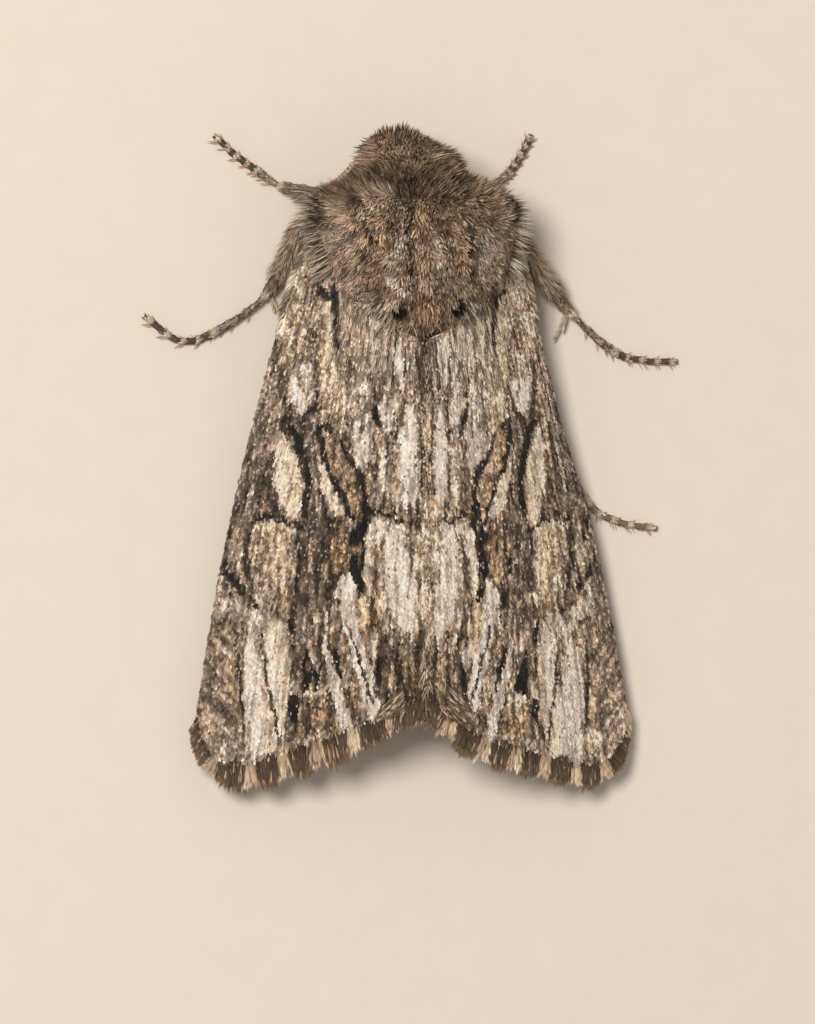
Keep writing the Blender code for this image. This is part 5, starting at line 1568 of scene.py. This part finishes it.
def add_leg_hair(coat, skin, name, number):
    """Scales on the foot, shin and thigh, and long hair on the outer and hind sides."""
    mine = skin.on_leg & (skin.leg == number)
    stage = skin.stage
    for where, share, ahead, shades, raised, length, width, ends, curl, sway in (
            (stage > 1.93, 1.0, 0.02, (0.22, 0.05, 0.08), 0.14, 0.12, 0.05, (0.75, 1.2), -0.12, 0.08),
            ((stage > 0.85) & (stage <= 1.95), 0.9, 0.03, (0.25, 0.08, 0.1), 0.25, 0.24, 0.045,
             (0.65, 1.25), -0.1, 0.12),
            (stage <= 0.85, 0.6, 0.03, (0.22, 0.05, 0.08), 0.3, 0.3, 0.055, (0.65, 1.2), -0.1, 0.15)):
        p = some(skin, mine & where, share)
        grow(coat, LEAF, p, p.run, raised, length, width, leg_shades(p, name, number, ahead, *shades), ends,
             leg_chart(number, p.stage, p.around), curl=curl, sway=sway)
    hairy = (stage > 0.5) & (stage < 1.66) & (outward_of(skin) > -0.1) & (skin.normals[:, 2] > -0.75)
    p = some(skin, mine & hairy, 0.75)
    tint = leg_shades(p, name, number, 0.06, 0.3, 0.12, 0.14)
    length = 0.4 + 0.25 * np.clip(outward_of(p), 0, 1) * (1 - 0.5 * ease(p.stage, 1.3, 1.66))
    if name.startswith("hindleg"):
        length = length * 0.8
    grow(coat, HAIR, p, p.run, 0.5 + 0.2 * patches(p.x, p.y, 0.2, 91), length, 0.03, tint, (0.6, 1.4),
         leg_chart(number, p.stage, p.around), curl=-0.14, sway=0.14)


def add_spines_and_claws(spines, name, number):
    """A row of spines on each side under the foot, and the foot's two claws."""
    line = LEG_LINES[name][1]
    tangents = tangents_of(line)
    for turn in (-1, 1):
        hind = turn * tangents[3 * LEG_STEPS, 0] < 0
        at = np.repeat(SPINE_STAGES, 4 if hind else 2)
        count = len(at)
        at = at + chance.normal(0, 0.025, count)
        index = np.clip((at * LEG_STEPS).astype(int), 0, 4 * LEG_STEPS)
        run = tangents[index]
        across = unit(np.cross(run, UP)) * turn
        start = line[index] + across * 0.09 - np.array((0, 0, 0.07))
        along = unit(run * 0.8 + across * (0.8 if hind else 0.55) - np.array((0, 0, 0.12))
                     + jitter(count, 0.1, 0.1, 0.05))
        tint = SPINE_BROWN * chance.uniform(0.7, 1.3, (count, 1))
        spines.add(HAIR, start, along, UP, chance.normal(0.26 if hind else 0.17, 0.03, count), 0.02, tint,
                   (1, 1.2), leg_chart(number, at, turn * 1.0), curl=-0.15)
        run = tangents[-1:]
        across = unit(np.cross(run, UP)) * turn
        spines.add(HAIR, line[-1:] + across * 0.03, unit(run + across * 0.4 + (0, 0, 0.12)), UP, 0.15, 0.03,
                   CLAW_BROWN[None], (1, 0.5), leg_chart(number, np.array((3.98,)), turn * 2.0), curl=-0.5)


def add_spurs(spines, name, number):
    """A pair of scaly spurs at the end of the middle and hind shins, and a second pair on the hind ones."""
    line = LEG_LINES[name][1]
    for at in SPUR_STAGES[name.split("_")[0]]:
        index = int(at * LEG_STEPS)
        run = tangents_of(line)[index]
        inward = unit(np.cross(run, UP))
        inward = inward * (1 if inward[1] > 0 else -1)
        start = line[index] + inward * 0.1 - np.array((0, 0, 0.05))
        for reach, spread in ((1.0, 0.72), (0.6, 0.4)):
            heading = unit(run * 0.35 + inward * spread + np.array((0, 0, -0.04)))
            length = reach * (1.0 if at > 1.9 else 0.8)
            spines.add(HAIR, start[None], heading[None], UP, length, 0.1, SPUR_BUFF[None], (1, 0.8),
                       leg_chart(number, np.array((at,)), 0.0), curl=-0.05, thick=0.8)
            count = 60
            share = chance.uniform(0.0, 0.85, count)
            angle = chance.uniform(0, 2 * math.pi, count)
            out = np.cos(angle)[:, None] * unit(np.cross(heading, UP)) + np.sin(angle)[:, None] * UP
            tint = vary(SPUR_BUFF, 0.2, dark=0.06, number=count)
            roots = start + heading * (share * length)[:, None] + out * (0.045 * (1 - 0.6 * share))[:, None]
            spines.add(LEAF, roots, unit(heading + out * 0.15), out, 0.13, 0.04, tint, (0.8, 1.1),
                       leg_chart(number, at, angle), curl=-0.1)


def add_leg_coat(skin):
    coat, spines = Coat(), Coat()
    for number, name in enumerate(LEG_NAMES):
        add_leg_hair(coat, skin, name, number)
        add_spines_and_claws(spines, name, number)
        add_spurs(spines, name, number)
    coat.build("leg_coat", leg_finish, "leg_scales")
    spines.build("leg_spines_spurs_and_claws", horn_finish, "leg_scales")


# ------------------------ eyes and feelers
def add_eye(word, side):
    bm = bmesh.new()
    bmesh.ops.create_icosphere(bm, subdivisions=5, radius=EYE_RADIUS)
    bmesh.ops.scale(bm, vec=(0.94, 1.0, 1.04), verts=bm.verts)
    bmesh.ops.translate(bm, vec=beside(side, *EYE_PLACE), verts=bm.verts)
    name = f"eye_{word}_facets"
    add_piece(name, mesh_from(bm, name), eye_finish, [f"eye_{word}"])


def feeler_curve(points, radius):
    """A tube through the points, as a bmesh."""
    line = bpy.data.curves.new("feeler_line", "CURVE")
    line.dimensions = "3D"
    line.bevel_depth = 1.0
    line.bevel_resolution = 3
    line.use_fill_caps = True
    spline = line.splines.new("POLY")
    spline.points.add(len(points) - 1)
    for knot, place, size in zip(spline.points, points, radius):
        knot.co = (*place, 1.0)
        knot.radius = size
    return shape_of(line, "feeler_line")


def add_feeler(word, side):
    """A thread of short joints, each dark with a pale ring, with fine bristles."""
    knots = np.array(FEELER)
    away = np.r_[0, np.cumsum(np.linalg.norm(np.diff(knots, axis=0), axis=1))]
    at = np.arange(0, away[-1], 0.045)
    x, y, z = through([(place, *knot) for place, knot in zip(away, knots)], at).T
    drawn_in = 0.24 * ease(-y, 7.9, 8.6) if side < 0 else 0.0
    points = rows(bend(y) + side * (x - drawn_in), y, z)
    joint = at / FEELER_JOINT % 1
    radius = (0.135 - 0.05 * at / away[-1]) * (0.93 + 0.14 * np.sin(joint * math.pi))
    radius = radius + 0.07 * ease(-at, -0.22, -0.05)
    radius[-1] *= 0.5
    bm = feeler_curve(points, radius)
    bmesh.ops.remove_doubles(bm, verts=bm.verts, dist=0.0005)
    name = f"feeler_{word}_thread"
    data = mesh_from(bm, name)
    tree = KDTree(len(points))
    for index, place in enumerate(points):
        tree.insert(place, index)
    tree.balance()
    nearest = np.array([tree.find(place)[1] for place in places_of(data)])
    ringed = ease(joint[nearest], 0.45, 0.6)[:, None]
    tint_points(data, UMBER * 1.2 * (1 - ringed) + FEELER_RING * ringed)
    add_piece(name, data, feeler_finish, [f"feeler_{word}"])
    bristles = Coat()
    index = np.repeat(np.arange(len(points)), 3)
    count = len(index)
    run = tangents_of(points)[index]
    angle = chance.uniform(0, 2 * math.pi, count)
    off = unit(np.cross(run, UP))
    out = np.cos(angle)[:, None] * off + np.sin(angle)[:, None] * np.cross(off, run)
    tint = vary(np.where((joint[index] > 0.5)[:, None], FEELER_RING, UMBER * 1.3), 0.2)
    chart = rows(0.02 + 0.96 * at[index] / away[-1], 0.1 + 0.8 * angle / (2 * math.pi))
    bristles.add(LEAF, points[index] + out * (radius[index] * 0.95)[:, None], unit(run + out * 0.22), out,
                 chance.normal(0.11, 0.012, count), 0.05, tint, (0.8, 1.1), chart, curl=-0.1)
    bristles.build(f"feeler_{word}_scales", feeler_finish, "leg_scales")


# ------------------------ the room
def add_camera():
    """Looks down on the moth, tilted toward its left, with its head at the top of the frame."""
    right = Vector((-math.cos(CAMERA_TILT), 0.0, math.sin(CAMERA_TILT)))
    down = Vector((0.0, 1.0, 0.0))
    turned_right = right * math.cos(CAMERA_ROLL) + down * math.sin(CAMERA_ROLL)
    up = right * math.sin(CAMERA_ROLL) - down * math.cos(CAMERA_ROLL)
    back = turned_right.cross(up)
    data = bpy.data.cameras.new("camera")
    data.sensor_width = 36.0
    data.lens = 36.0 * CAMERA_AWAY / VIEW_HEIGHT
    data.clip_start, data.clip_end = 0.01, 10.0
    camera = new_object("camera", data)
    turn = Matrix((turned_right, up, back)).transposed().to_4x4()
    camera.matrix_world = Matrix.Translation((Vector(AIM) + back * CAMERA_AWAY) * MM) @ turn
    bpy.context.scene.camera = camera


def add_light(name, place, size, power, colour):
    """A soft round light that faces the middle of the floor."""
    data = bpy.data.lights.new(name, "AREA")
    data.shape = "DISK"
    data.size = size * MM
    data.energy = power
    data.color = colour
    light = new_object(name, data)
    light.location = Vector(place) * MM
    light.rotation_mode = "QUATERNION"
    light.rotation_quaternion = Vector(place).to_track_quat("Z", "Y")


def add_floor():
    bm = bmesh.new()
    bmesh.ops.create_grid(bm, x_segments=2, y_segments=2, size=600.0)
    data = mesh_from(bm, "floor")
    material, nodes, link, shader = new_material("pale_floor")
    place, noise = nodes.new("ShaderNodeTexCoord"), nodes.new("ShaderNodeTexNoise")
    set_inputs(noise, {"Scale": 900.0, "Detail": 4.0})
    ramp = nodes.new("ShaderNodeValToRGB")
    ramp.color_ramp.elements[0].color = (0.79, 0.705, 0.615, 1)
    ramp.color_ramp.elements[1].color = (0.83, 0.745, 0.655, 1)
    link(place.outputs["Object"], noise.inputs["Vector"])
    link(noise.outputs["Fac"], ramp.inputs["Fac"])
    link(ramp.outputs["Color"], shader.inputs["Base Color"])
    set_inputs(shader, {"Roughness": 0.9, "Specular IOR Level": 0.1})
    data.materials.append(material)
    new_object("floor", data)


def add_room():
    scene = bpy.context.scene
    scene.view_settings.view_transform = "Standard"
    world = bpy.data.worlds.new("studio")
    world.use_nodes = True
    set_inputs(world.node_tree.nodes["Background"], {"Color": (1.0, 0.96, 0.91, 1), "Strength": 0.36})
    scene.world = world
    add_light("soft_overhead_light", (90, -50, 225), 80, 0.45, (1.0, 0.965, 0.92))
    add_floor()


# ------------------------ build
for word, side, seed in SIDES:
    add_forewing(word, side, seed)
    add_hindwing(word, side, seed)
    add_eye(word, side)
    add_feeler(word, side)
skin = add_body()
body = ~skin.on_leg
thorax = body & (skin.y > -8.85) & (skin.y < -3.3)
add_thorax_coat(skin, thorax)
add_thorax_tufts(skin, thorax)
add_head_coat(skin, body)
add_abdomen_coat(skin, body)
add_leg_coat(skin)
add_room()
add_camera()
